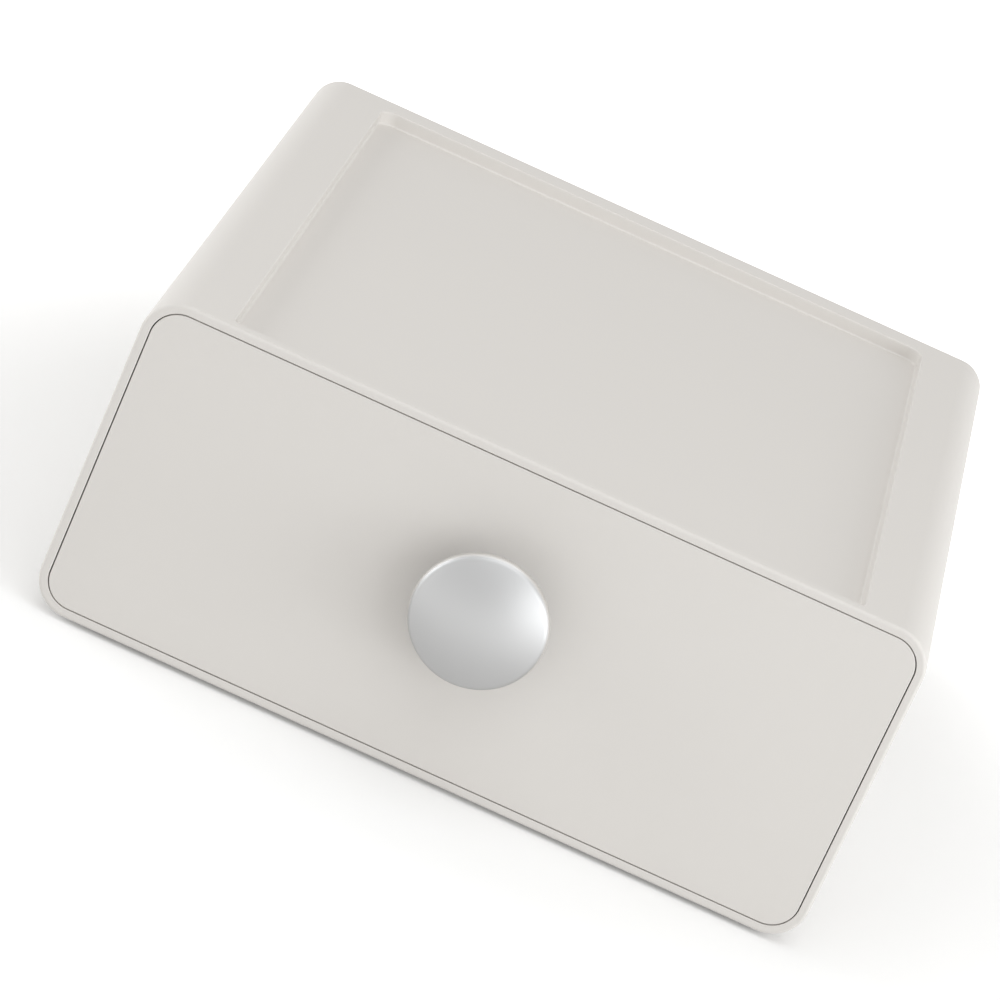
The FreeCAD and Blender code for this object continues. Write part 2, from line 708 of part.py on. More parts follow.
for item in doc.Objects:
    if {"Invalid", "Error"} & set(item.State):
        raise RuntimeError(f"{item.Label} failed to compute")
for piece in pieces:
    if piece.Shape.isNull() or not piece.Shape.isValid() or not piece.Shape.Solids:
        raise RuntimeError(f"{piece.Label} has no valid shape")
os.makedirs("parts", exist_ok=True)
for piece in pieces:
    piece.Shape.exportStep(f"parts/{piece.Label}.step")
    print(piece.Label, len(piece.Shape.Solids), "solids", round(piece.Shape.Volume / 1000, 2), "cm3")
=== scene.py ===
import bmesh
import bpy
import math
from mathutils import Matrix, Vector


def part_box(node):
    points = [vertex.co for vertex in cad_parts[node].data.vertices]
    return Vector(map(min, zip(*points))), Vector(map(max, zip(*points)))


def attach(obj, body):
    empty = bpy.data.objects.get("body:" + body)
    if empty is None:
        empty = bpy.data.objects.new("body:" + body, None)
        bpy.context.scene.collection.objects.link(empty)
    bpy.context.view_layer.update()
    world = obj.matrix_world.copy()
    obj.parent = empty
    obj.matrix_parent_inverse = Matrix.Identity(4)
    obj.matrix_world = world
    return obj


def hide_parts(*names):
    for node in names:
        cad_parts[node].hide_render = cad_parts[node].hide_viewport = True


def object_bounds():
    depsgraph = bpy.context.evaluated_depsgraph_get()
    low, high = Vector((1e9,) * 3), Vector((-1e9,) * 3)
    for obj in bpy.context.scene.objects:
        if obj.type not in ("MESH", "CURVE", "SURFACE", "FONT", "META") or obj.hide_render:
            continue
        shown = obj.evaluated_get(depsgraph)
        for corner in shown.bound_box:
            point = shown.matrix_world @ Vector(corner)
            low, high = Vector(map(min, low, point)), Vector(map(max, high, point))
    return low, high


# Desktop drawer box: a rounded moulded sleeve with a shallow well in its top,
# and a flush drawer with a turned knob. Everything is in metres, in the frame of the CAD model.

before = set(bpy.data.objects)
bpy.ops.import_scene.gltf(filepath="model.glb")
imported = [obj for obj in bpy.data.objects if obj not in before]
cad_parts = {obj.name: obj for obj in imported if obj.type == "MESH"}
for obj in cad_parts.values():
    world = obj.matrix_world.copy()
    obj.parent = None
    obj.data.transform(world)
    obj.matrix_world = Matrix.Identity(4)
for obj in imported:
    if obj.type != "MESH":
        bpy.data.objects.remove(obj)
cadLow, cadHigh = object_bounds()
mm = 0.001
weldDistance = 1e-7  # metres within which vertices are one
nearby = 1e-6  # metres within which a point counts as on a plane
past = 1 * mm  # how far a cutter reaches beyond what it cuts
axisY, axisZ = 1, 2  # places of Y and Z in a vector


# mesh helpers

def arc(centre, radius, start, stop, steps):  # points of an arc, angles in degrees
    turns = [math.radians(start + (stop - start) * i / steps) for i in range(steps + 1)]
    return [(centre[0] + radius * math.cos(a), centre[1] + radius * math.sin(a)) for a in turns]


def quarterRound(radius, steps):  # of an edge, as inset and distance from the rim
    turns = [math.pi / 2 * i / steps for i in range(steps + 1)]
    return [(radius * (1 - math.sin(a)), radius * (1 - math.cos(a))) for a in turns]


def roundedLoop(low, high, radii, steps, stops=(0, 0)):
    # Rounded rectangle, anticlockwise from its right front corner. Each point has the name of its
    # side, half of a corner going to either side, and a corner's middle point has a name of its own.
    # radii: right front, right back, left back, left front. stops: extra points on each straight
    # stretch, first for the right and left sides, then for the back and front.
    corners = [(high[0], low[1]), (high[0], high[1]), (low[0], high[1]), (low[0], low[1])]
    inward = [(-1, 1), (-1, -1), (1, -1), (1, 1)]
    sides = ["front", "right", "back", "left"]
    loop = []
    for i in range(4):
        radius = radii[i]
        middle = [corners[i][k] + inward[i][k] * radius for k in range(2)]
        for k, point in enumerate(arc(middle, radius, 90 * i - 90, 90 * i, steps)):
            half = "corner%d" % i if 2 * k == steps else sides[i if 2 * k < steps else (i + 1) % 4]
            loop.append((*point, half))
        after, nextRadius = corners[(i + 1) % 4], radii[(i + 1) % 4]
        start = Vector(loop[-1][:2])
        way = Vector(after) - Vector(corners[i])
        end = Vector(after) - way.normalized() * nextRadius
        count = stops[i % 2]
        for k in range(1, count + 1):
            point = start.lerp(end, k / (count + 1))
            loop.append((point.x, point.y, sides[(i + 1) % 4]))
    return loop


def ring(bm, points, place):  # one vertex for each point of a loop
    return [bm.verts.new(place(p[0], p[1])) for p in points]


def bridge(bm, first, second, skipped=()):  # quads between two rings, but for skipped columns
    count = len(first)
    for i in range(count):
        if i not in skipped:
            k = (i + 1) % count
            bm.faces.new((first[i], first[k], second[k], second[i]))


def lofted(bm, rings, capped=(False, False)):  # a skin from ring to ring
    for first, second in zip(rings, rings[1:]):
        bridge(bm, first, second)
    if capped[0]:
        bm.faces.new(rings[0])
    if capped[1]:
        bm.faces.new(rings[-1])


def outwards(bm):  # merged, and every face turned to the outside
    bmesh.ops.remove_doubles(bm, verts=bm.verts, dist=weldDistance)
    loose = [v for v in bm.verts if not v.link_faces]
    bmesh.ops.delete(bm, geom=loose, context="VERTS")
    bmesh.ops.recalc_face_normals(bm, faces=bm.faces)


def linked(name, data):  # an object of that name and data, in the scene
    made = bpy.data.objects.new(name, data)
    bpy.context.scene.collection.objects.link(made)
    return made


def newPiece(name, bm, material=None):
    outwards(bm)
    mesh = bpy.data.meshes.new(name)
    bm.to_mesh(mesh)
    bm.free()
    piece = linked(name, mesh)
    if material:
        mesh.materials.append(material)
    return piece


def addBox(bm, low, high, bevel=0.0, picked=None):  # a block, its picked edges bevelled
    made = bmesh.ops.create_cube(bm, size=1)["verts"]
    for v in made:
        v.co = Vector([low[k] if v.co[k] < 0 else high[k] for k in range(3)])
    if bevel:
        edges = dict.fromkeys(e for v in made for e in v.link_edges)  # each once, always in one order
        edges = [e for e in edges if picked is None or picked((e.verts[0].co + e.verts[1].co) / 2)]
        bmesh.ops.bevel(bm, geom=edges, offset=bevel, segments=2, profile=0.5, affect="EDGES")


def addDisc(bm, middle, radius, low, high, axis, steps):  # a short round bar along x, y or z
    others = [k for k in range(3) if k != axis]

    def circle(level):
        found = []
        for x, y in arc((0, 0), radius, 0, 360, steps)[:-1]:
            co = Vector(middle)
            co[others[0]] += x
            co[others[1]] += y
            co[axis] = level
            found.append(bm.verts.new(co))
        return found
    lofted(bm, [circle(low), circle(high)], capped=(True, True))


def combine(piece, bm, way):  # UNION or DIFFERENCE with everything in bm, which may overlap itself
    tool = newPiece(piece.name + "_tool", bm)
    step = piece.modifiers.new(way, "BOOLEAN")
    step.operation, step.object, step.solver, step.use_self = way, tool, "EXACT", True
    settle(piece)
    bpy.data.objects.remove(tool)


def settle(piece):  # the evaluated mesh becomes the piece's own, and its modifiers go
    graph = bpy.context.evaluated_depsgraph_get()
    made = bpy.data.meshes.new_from_object(piece.evaluated_get(graph))
    piece.modifiers.clear()
    old, piece.data = piece.data, made
    made.name = piece.name
    bpy.data.meshes.remove(old)


def smoothed(piece, angle=35.0):  # rounded edges shade smoothly and flat faces stay flat
    for polygon in piece.data.polygons:
        polygon.use_smooth = True
    piece.data.set_sharp_from_angle(angle=math.radians(angle))
    weighted = piece.modifiers.new("weightedNormals", "WEIGHTED_NORMAL")
    weighted.keep_sharp = True


def carried(piece, body, slot, *nodes):  # rides a body and stands for nodes of the CAD model
    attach(piece, body)
    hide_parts(*nodes)


# camera: the photograph's place, tilt and roll

cameraSizes = {
    "place": (-2.4 * mm, -1072.2 * mm, 423.4 * mm),
    "down": 20.298,  # degrees below level
    "roll": 24.33,  # degrees, which turns the picture clockwise
    "lens": 179.0, "sensor": 36.0,  # millimetres
    "shift": (-0.00703, 0.0306),
    "clip": (0.05, 50.0),
}


def makeCamera():
    lens = bpy.data.cameras.new("camera")
    lens.lens, lens.sensor_width = cameraSizes["lens"], cameraSizes["sensor"]
    lens.shift_x, lens.shift_y = cameraSizes["shift"]
    lens.clip_start, lens.clip_end = cameraSizes["clip"]
    camera = linked("camera", lens)
    tilt = Matrix.Rotation(math.radians(90 - cameraSizes["down"]), 4, "X")
    roll = Matrix.Rotation(math.radians(cameraSizes["roll"]), 4, "Z")
    camera.matrix_world = Matrix.Translation(cameraSizes["place"]) @ tilt @ roll
    bpy.context.scene.camera = camera


makeCamera()
print("camera placed")


# node helpers, and shader groups that more than one material uses

def nodeGroup(name, kind, inputs, outputs):
    tree = bpy.data.node_groups.new(name, kind)
    for label, socket, value in inputs:
        made = tree.interface.new_socket(label, in_out="INPUT", socket_type=socket)
        if value is not None:
            made.default_value = value
    for label, socket in outputs:
        tree.interface.new_socket(label, in_out="OUTPUT", socket_type=socket)
    return tree, tree.nodes.new("NodeGroupInput"), tree.nodes.new("NodeGroupOutput")


def addNode(tree, kind, settings=None, inputs=None):
    node = tree.nodes.new(kind)
    for key, value in (settings or {}).items():
        setattr(node, key, value)
    for key, value in (inputs or {}).items():
        if isinstance(value, bpy.types.NodeSocket):
            tree.links.new(value, node.inputs[key])
        else:
            node.inputs[key].default_value = value
    return node


def calc(tree, operation, *values):  # what a Math node makes of values or sockets
    return addNode(tree, "ShaderNodeMath", {"operation": operation}, dict(enumerate(values))).outputs[0]


def makeGrainGroup():  # the fine spark-eroded texture of a mould, as a height
    tree, start, end = nodeGroup(
        "mouldGrain", "ShaderNodeTree",
        [("Vector", "NodeSocketVector", None), ("Fineness", "NodeSocketFloat", 2600.0)],
        [("Height", "NodeSocketFloat")])
    fine = addNode(tree, "ShaderNodeTexNoise", inputs={
        "Vector": start.outputs["Vector"], "Scale": start.outputs["Fineness"],
        "Detail": 2.0, "Roughness": 0.6})
    tree.links.new(fine.outputs["Fac"], end.inputs["Height"])
    return tree


def makeCloudGroup():  # slow, faint drifts of tone and gloss over a moulding
    tree, start, end = nodeGroup(
        "toneDrift", "ShaderNodeTree",
        [("Vector", "NodeSocketVector", None), ("Scale", "NodeSocketFloat", 18.0),
         ("Colour", "NodeSocketColor", (0.7, 0.7, 0.7, 1.0)), ("Shift", "NodeSocketFloat", 0.03),
         ("Roughness", "NodeSocketFloat", 0.5), ("Gloss Shift", "NodeSocketFloat", 0.06)],
        [("Colour", "NodeSocketColor"), ("Roughness", "NodeSocketFloat")])
    cloud = addNode(tree, "ShaderNodeTexNoise", inputs={
        "Vector": start.outputs["Vector"], "Scale": start.outputs["Scale"],
        "Detail": 3.0, "Roughness": 0.55})
    centred = calc(tree, "SUBTRACT", cloud.outputs["Fac"], 0.5)
    tone = calc(tree, "MULTIPLY_ADD", centred, start.outputs["Shift"], 1.0)
    toned = addNode(tree, "ShaderNodeVectorMath", {"operation": "SCALE"}, {
        0: start.outputs["Colour"], "Scale": tone})
    gloss = calc(tree, "MULTIPLY_ADD", centred, start.outputs["Gloss Shift"], start.outputs["Roughness"])
    tree.links.new(toned.outputs["Vector"], end.inputs["Colour"])
    tree.links.new(gloss, end.inputs["Roughness"])
    return tree


mouldGrain = makeGrainGroup()
toneDrift = makeCloudGroup()


# materials

def newMaterial(name):
    material = bpy.data.materials.new(name)
    material.use_nodes = True
    tree = material.node_tree
    shader = tree.nodes["Principled BSDF"]
    coordinates = tree.nodes.new("ShaderNodeTexCoord").outputs["Object"]
    return material, tree, shader, coordinates


def addDrift(tree, shader, coordinates, look, colour):  # tone and gloss that drift a little
    drift = addNode(tree, "ShaderNodeGroup", {"node_tree": toneDrift}, {
        "Vector": coordinates, "Scale": look["driftScale"], "Colour": colour,
        "Shift": look["toneShift"], "Roughness": look["roughness"],
        "Gloss Shift": look["glossShift"]})
    tree.links.new(drift.outputs["Colour"], shader.inputs["Base Color"])
    tree.links.new(drift.outputs["Roughness"], shader.inputs["Roughness"])


def addRelief(tree, shader, height, strength, depth):
    bump = addNode(tree, "ShaderNodeBump", inputs={
        "Strength": strength, "Distance": depth, "Height": height})
    tree.links.new(bump.outputs["Normal"], shader.inputs["Normal"])


def makeMoulded(name, look):  # matte plastic or silicone out of a textured mould
    material, tree, shader, coordinates = newMaterial(name)
    addDrift(tree, shader, coordinates, look, (*look["colour"], 1.0))
    grain = addNode(tree, "ShaderNodeGroup", {"node_tree": mouldGrain}, {
        "Vector": coordinates, "Fineness": look["grainFineness"]})
    addRelief(tree, shader, grain.outputs["Height"], look["grainStrength"], look["grainDepth"])
    shader.inputs["IOR"].default_value = look["ior"]
    return material


plasticLook = {
    "colour": (0.710, 0.685, 0.655), "roughness": 0.55, "ior": 1.46,
    "driftScale": 16.0, "toneShift": 0.035, "glossShift": 0.12,
    "grainFineness": 2600.0, "grainStrength": 0.25, "grainDepth": 0.02 * mm,
}
siliconeLook = {
    "colour": (0.48, 0.47, 0.455), "roughness": 0.72, "ior": 1.41,
    "driftScale": 120.0, "toneShift": 0.10, "glossShift": 0.15,
    "grainFineness": 3400.0, "grainStrength": 0.4, "grainDepth": 0.03 * mm,
}
trayLook = dict(plasticLook, roughness=0.5, driftScale=22.0, grainStrength=0.15)
casePlastic = makeMoulded("casePlastic", plasticLook)
trayPlastic = makeMoulded("trayPlastic", trayLook)
silicone = makeMoulded("siliconeRubber", siliconeLook)

knobLook = {
    "colour": (0.475, 0.475, 0.475), "roughness": 0.46,
    "driftScale": 90.0, "toneShift": 0.03, "glossShift": 0.05,
    "paintedRimReflection": (0.69, 0.675, 0.655),  # a painted reflection of the pale panel on the knob's rim, laid on between the next two radii
    "paintedRimStart": 14.75 * mm, "paintedRimEnd": 15.05 * mm,
    "turnMarks": 9000.0, "markStrength": 0.12, "markDepth": 0.004 * mm,
}


def makeKnobMetal(axisPlace):  # satin metal with very fine turning marks round the knob's axis, and a painted reflection of the panel in a band at its rim
    material, tree, shader, coordinates = newMaterial("knobMetal")
    centred = addNode(tree, "ShaderNodeMapping", inputs={
        "Vector": coordinates, "Location": -Vector(axisPlace)})
    split = addNode(tree, "ShaderNodeSeparateXYZ", inputs={"Vector": centred.outputs["Vector"]})
    across, up = split.outputs["X"], split.outputs["Z"]
    square = calc(tree, "MULTIPLY_ADD", up, up, calc(tree, "MULTIPLY", across, across))
    away = calc(tree, "SQRT", square)
    # Near the rim the colour turns to a painted reflection of the pale panel, a painted highlight all
    # round the knob.
    paintedRimMask = addNode(tree, "ShaderNodeMapRange", inputs={
        "Value": away, "From Min": knobLook["paintedRimStart"], "From Max": knobLook["paintedRimEnd"]})
    tone = addNode(tree, "ShaderNodeMix", {"data_type": "RGBA"}, {  # 6 and 7 are its two colours
        0: paintedRimMask.outputs[0], 6: (*knobLook["colour"], 1.0), 7: (*knobLook["paintedRimReflection"], 1.0)})
    marks = addNode(tree, "ShaderNodeTexNoise", {"noise_dimensions": "1D"}, {
        "W": away, "Scale": knobLook["turnMarks"], "Detail": 2.0})
    addDrift(tree, shader, coordinates, knobLook, tone.outputs[2])
    addRelief(tree, shader, marks.outputs["Fac"], knobLook["markStrength"], knobLook["markDepth"])
    shader.inputs["Metallic"].default_value = 1.0
    return material


zincLook = {
    "colour": (0.60, 0.60, 0.61), "roughness": 0.36,
    "driftScale": 700.0, "toneShift": 0.25, "glossShift": 0.2,
}


def makeZinc():
    material, tree, shader, coordinates = newMaterial("zincSteel")
    addDrift(tree, shader, coordinates, zincLook, (*zincLook["colour"], 1.0))
    shader.inputs["Metallic"].default_value = 1.0
    return material


knobLow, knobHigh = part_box("knob")
knobAxis = Vector((0.0, knobHigh.y, (knobLow.z + knobHigh.z) / 2))
knobMetal = makeKnobMetal(knobAxis)
zincSteel = makeZinc()
print("materials made")


# case: rounded tube, with the well let into its top and hanging inside as a trough

caseSizes = {
    "wall": 2.1 * mm, "cornerRadius": 8.75 * mm, "backCornerRadius": 7.3 * mm,
    "edgeRound": 0.85 * mm, "mouthRound": 0.15 * mm,
    "wellDepth": 3.35 * mm, "sideLand": 17.5 * mm, "frontLip": 3.4 * mm, "backLip": 8.4 * mm,
    "frontRadius": 1.2 * mm, "backRadius": 4.0 * mm, "draft": 3.0,  # degrees
    "wellEdgeRound": 0.4 * mm, "floorRound": 0.6 * mm, "mouthDepth": 2.2 * mm,
    "troughRound": 0.3 * mm, "leastRadius": 0.15 * mm,
    "cornerSteps": 16, "wellSteps": 12, "edgeSteps": 6, "wellStops": (9, 9),
}
caseLow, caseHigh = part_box("case_sleeve")


def wellProfile(depth, edgeRound, floorRound, draft, steps):
    # Inset and depth along the wall, from the land to the floor. The edge round starts outside it.
    lean = math.radians(draft)
    edgeMiddle = (-edgeRound * (1 - math.sin(lean)) / math.cos(lean), edgeRound)
    floorMiddle = ((depth - floorRound) * math.tan(lean) + floorRound / math.cos(lean),
                   depth - floorRound)
    edge = arc(edgeMiddle, edgeRound, -90, -draft, steps)
    return edge + arc(floorMiddle, floorRound, 180 - draft, 90, steps)


def makeCase():
    s = caseSizes
    wall, steps = s["wall"], s["wellSteps"]
    bm = bmesh.new()

    def wellLoop(inset):
        low = (caseLow.x + s["sideLand"] + inset, caseLow.y + s["frontLip"] + inset)
        high = (caseHigh.x - s["sideLand"] - inset, caseHigh.y - s["backLip"] - inset)
        corners = (s["frontRadius"], s["backRadius"], s["backRadius"], s["frontRadius"])
        return low, high, [max(r - inset, s["leastRadius"]) for r in corners]

    well = wellProfile(s["wellDepth"], s["wellEdgeRound"], s["floorRound"], s["draft"], s["edgeSteps"])
    wellLoops = [roundedLoop(*wellLoop(inset), steps, s["wellStops"]) for inset, _ in well]
    wellDepths = [depth for _, depth in well]

    # The trough under the well, one wall thick, with its front kept behind the drawer face.
    troughFront = caseLow.y + s["mouthDepth"]

    def troughLoop(inset):
        low, high, radii = wellLoop(inset - wall)
        return roundedLoop((low[0], troughFront + inset), high, radii, steps, s["wellStops"])

    edge = quarterRound(s["troughRound"], s["edgeSteps"])
    trough = [(0.0, 0.0)]  # inset and depth, down to the underside and round its edge
    trough += [(inset, s["wellDepth"] - up) for up, inset in edge]
    troughLoops = [troughLoop(inset) for inset, _ in trough]
    troughDepths = [depth for _, depth in trough]

    def topStops(loop, side):  # where the rings get extra points, to meet one side of an opening
        return sorted((p[0] for p in loop if p[2] == side), reverse=True)

    topStart = 2 * (s["cornerSteps"] + 1)  # points of a ring before those

    def tubeRing(inset, y, stops, radius=s["cornerRadius"]):
        low = (caseLow.x + inset, caseLow.z + inset)
        high = (caseHigh.x - inset, caseHigh.z - inset)
        plain = roundedLoop(low, high, [radius - inset] * 4, s["cornerSteps"])
        points = [p[:2] for p in plain]
        points[topStart:topStart] = [(x, high[1]) for x in stops]
        return ring(bm, points, lambda x, z: (x, y, z))

    frontOut, backOut = topStops(wellLoops[0], "front"), topStops(wellLoops[0], "back")
    frontIn, backIn = topStops(troughLoops[0], "front"), topStops(troughLoops[0], "back")
    topColumns = range(topStart - 1, topStart + len(frontOut))

    def surface(rings, z, loops, depths):
        # Strips from ring to ring but for the top, the faces round the opening, and its walls.
        for a, b in zip(rings, rings[1:]):
            bridge(bm, a, b, topColumns)
        edge = [v for r in rings for v in (r[topColumns.start], r[topColumns.stop])]
        for r in (rings[0], rings[-1]):
            edge += r[topColumns.start:topColumns.stop + 1]
        x = rings[0][topColumns.start].co.x
        frontY, backY = rings[0][0].co.y, rings[-1][0].co.y
        corner = {"corner0": (x, frontY), "corner1": (x, backY),
                  "corner2": (-x, backY), "corner3": (-x, frontY)}

        def border(p):  # the vertex of the rim that a point of the opening is joined to
            side = {"right": (x, p[1]), "left": (-x, p[1]),
                    "front": (p[0], frontY), "back": (p[0], backY)}
            spot = Vector((*(corner.get(p[2]) or side[p[2]]), z))
            return min(edge, key=lambda v: (v.co - spot).length_squared)
        made = [[border(p) for p in loops[0]]]
        made += [ring(bm, loop, lambda px, py, d=d: (px, py, z - d))
                 for loop, d in zip(loops, depths)]
        lofted(bm, made, capped=(False, True))

    def outerRing(inset, y, stops):  # the outer corners get a little tighter towards the back
        share = (y - caseLow.y) / (caseHigh.y - caseLow.y)
        radius = s["cornerRadius"] + share * (s["backCornerRadius"] - s["cornerRadius"])
        return tubeRing(inset, y, stops, radius)

    # outside, from the front rim to the back rim
    rim = quarterRound(s["edgeRound"], s["edgeSteps"])
    front = [outerRing(inset, caseLow.y + away, frontOut) for inset, away in rim]
    back = [outerRing(inset, caseHigh.y - away, backOut) for inset, away in reversed(rim)]
    sideYs = sorted(p[1] for p in wellLoops[0] if p[2] == "right")
    middle = [outerRing(0.0, y, frontOut) for y in sideYs]
    surface([front[-1]] + middle + [back[0]], caseHigh.z, wellLoops, wellDepths)
    for rings in (front, back):
        lofted(bm, rings)

    # inside, from the back rim to the mouth
    mouth = [tubeRing(wall - inset, caseLow.y + away, frontIn)
             for inset, away in quarterRound(s["mouthRound"], s["edgeSteps"])]
    innerBack = tubeRing(wall, caseHigh.y, backIn)
    innerYs = sorted(p[1] for p in troughLoops[0] if p[2] == "right")
    inner = [tubeRing(wall, y, frontIn) for y in innerYs]
    surface([mouth[-1]] + inner + [innerBack], caseHigh.z - wall, troughLoops, troughDepths)
    lofted(bm, mouth)
    bridge(bm, front[0], mouth[0])
    bridge(bm, back[-1], innerBack)
    return newPiece("case", bm, casePlastic)


insideSizes = {
    "ribEnds": (8.0 * mm, 12.1 * mm), "runnerPlace": 59.9 * mm, "runnerWidth": 3.0 * mm,
    "runnerRise": 1.0 * mm, "runnerRound": 0.35 * mm, "guideLevel": 14.0 * mm,
    "guideWidth": 3.0 * mm, "guideRise": 0.8 * mm, "guideRound": 0.3 * mm,
    "stopPlace": (40.0 * mm, 29.5 * mm), "stopSize": (22.0 * mm, 2.4 * mm, 2.0 * mm),
    "stopLead": 0.9 * mm, "panelFront": 4.1 * mm, "ledge": (0.9 * mm, 1.5 * mm, 40.0 * mm),
    "blockSide": 7.2 * mm, "blockLength": 8.5 * mm, "blockRound": 1.5 * mm,
    "blockEdge": 0.1 * mm, "blockSteps": 8,
    "pilotInset": 4.2 * mm, "pilotRadius": 1.15 * mm, "pilotDepth": 6.0 * mm,
    "slotPlace": 45.0 * mm, "slotSize": (12.2 * mm, 1.2 * mm, 1.2 * mm), "slotSetback": 0.1 * mm,
    "seatPlace": (20.0 * mm, 18.0 * mm), "seatRadius": 6.1 * mm, "seatDepth": 0.6 * mm,
}


def addInside(shell):  # runners, guides, stops, ledges and screw blocks, then slots, seats and pilots
    s, t = caseSizes, insideSizes
    wall, sunk = s["wall"], s["wall"] / 2
    side, floorLevel, roof = caseHigh.x - wall, caseLow.z + wall, caseHigh.z - wall
    ceiling = roof - s["wellDepth"]
    ribFront, ribBack = caseLow.y + t["ribEnds"][0], caseHigh.y - t["ribEnds"][1]
    panelFront = caseHigh.y - t["panelFront"]
    added = bmesh.new()

    def block(way, x0, x1, low, high, bevel=0.0, picked=None):
        a, b = sorted((way * x0, way * x1))
        addBox(added, (a, *low), (b, *high), bevel, picked)

    for way in (-1, 1):
        x, half = t["runnerPlace"], t["runnerWidth"] / 2
        block(way, x - half, x + half, (ribFront, floorLevel - sunk),
              (ribBack, floorLevel + t["runnerRise"]), t["runnerRound"], lambda p: p.z > floorLevel)
        low = caseLow.z + t["guideLevel"]
        block(way, side - t["guideRise"], side + sunk, (ribFront, low),
              (ribBack, low + t["guideWidth"]), t["guideRound"],
              lambda p: abs(p.x) < side and abs(p.y) < ribBack)
        x, y = t["stopPlace"][0], caseLow.y + t["stopPlace"][1]
        width, thick, drop = t["stopSize"]
        block(way, x - width / 2, x + width / 2, (y, ceiling - drop), (y + thick, ceiling + sunk),
              t["stopLead"], lambda p: p.y < y + nearby and p.z < ceiling - drop + nearby)
        rise, length, tall = t["ledge"]
        middle = (caseLow.z + caseHigh.z) / 2
        block(way, side - rise, side + sunk, (panelFront - length, middle - tall / 2),
              (panelFront, middle + tall / 2))
        edge = t["blockEdge"]
        outline = roundedLoop((side - t["blockSide"], roof - t["blockSide"]),
                              (side + sunk, roof + sunk),
                              [edge, s["cornerRadius"] - sunk, edge, t["blockRound"]], t["blockSteps"])
        lofted(added, [ring(added, outline, lambda px, pz, y=y: (way * px, y, pz))
                       for y in (panelFront - t["blockLength"], panelFront)], capped=(True, True))
    combine(shell, added, "UNION")

    cut = bmesh.new()
    for way in (-1, 1):
        pilot = (way * (side - t["pilotInset"]), 0, roof - t["pilotInset"])
        addDisc(cut, pilot, t["pilotRadius"], panelFront - t["pilotDepth"], panelFront + past,
                axisY, steps=24)
        width, thick, deep = t["slotSize"]
        y = panelFront - t["slotSetback"]
        addBox(cut, (way * t["slotPlace"] - width / 2, y, floorLevel - deep),
               (way * t["slotPlace"] + width / 2, y + thick, floorLevel + past))
        for y in (caseLow.y + t["seatPlace"][1], caseHigh.y - t["seatPlace"][1]):
            seat = (way * (caseHigh.x - t["seatPlace"][0]), y, 0)
            addDisc(cut, seat, t["seatRadius"], caseLow.z - past, caseLow.z + t["seatDepth"],
                    axisZ, steps=64)
    combine(shell, cut, "DIFFERENCE")


caseShell = makeCase()
addInside(caseShell)
smoothed(caseShell)
carried(caseShell, "case", "case_plastic", "case_sleeve")
print("case made", len(caseShell.data.polygons))


# back panel: plate inside the back rim, hooked in at its foot by two tongues

panelSizes = {
    "cornerRadius": 6.5 * mm, "edgeRound": 0.4 * mm, "plateLow": 1.25 * mm,
    "tonguePlace": 45.0 * mm, "tongueWidth": 12.0 * mm, "tongueThickness": 1.0 * mm,
    "tongueReach": 1.1 * mm, "tongueRound": 0.25 * mm,
    "holePlace": (83.7 * mm, 71.1 * mm), "holeRadius": 1.45 * mm,
}
plateSteps = {"corner": 16, "edge": 6, "stops": (3, 9)}


def plateRings(bm, low, high, radius, edgeRound, flatEnd, roundedEnd):
    # Rings of a rounded plate that stands in the x-z plane, one of its ends with a rounded edge.
    def plateRing(inset, y):
        loop = roundedLoop((low[0] + inset, low[1] + inset), (high[0] - inset, high[1] - inset),
                           [radius - inset] * 4, plateSteps["corner"], plateSteps["stops"])
        return ring(bm, loop, lambda x, z: (x, y, z))
    way = 1 if roundedEnd > flatEnd else -1
    edge = quarterRound(edgeRound, plateSteps["edge"])
    return [plateRing(0.0, flatEnd)] + [plateRing(inset, roundedEnd - way * up) for up, inset in edge]


def makeBackPanel():
    s = panelSizes
    low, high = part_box("back_panel")
    bm = bmesh.new()
    bottom = low.z + s["plateLow"]
    lofted(bm, plateRings(bm, (low.x, bottom), (high.x, high.z), s["cornerRadius"], s["edgeRound"],
                          low.y, high.y), capped=(True, True))
    panel = newPiece("backPanel", bm, casePlastic)
    added = bmesh.new()
    for way in (-1, 1):
        addBox(added, (way * s["tonguePlace"] - s["tongueWidth"] / 2, low.y, low.z),
               (way * s["tonguePlace"] + s["tongueWidth"] / 2, low.y + s["tongueThickness"],
                bottom + s["tongueReach"]), s["tongueRound"], lambda p: p.z < low.z + nearby)
    combine(panel, added, "UNION")
    cut = bmesh.new()
    for way in (-1, 1):
        hole = (way * s["holePlace"][0], 0, s["holePlace"][1])
        addDisc(cut, hole, s["holeRadius"], low.y - past, high.y + past, axisY, steps=32)
    combine(panel, cut, "DIFFERENCE")
    smoothed(panel)
    carried(panel, "case", "case_plastic", "back_panel")


makeBackPanel()
print("back panel made")


# drawer face: flush plate with four short bosses behind it

faceSizes = {
    "cornerRadius": 6.3 * mm, "edgeRound": 0.2 * mm, "thickness": 2.0 * mm,
    "fuller": 0.1 * mm,  # beyond the CAD plate, for the thin gap of the real one
    "bossRadius": 2.8 * mm, "screwPlace": (58.0 * mm, 15.0 * mm, 57.0 * mm),
    "pilotRadius": 1.15 * mm, "pilotReach": 3.0 * mm, "knobHole": 2.25 * mm,
}


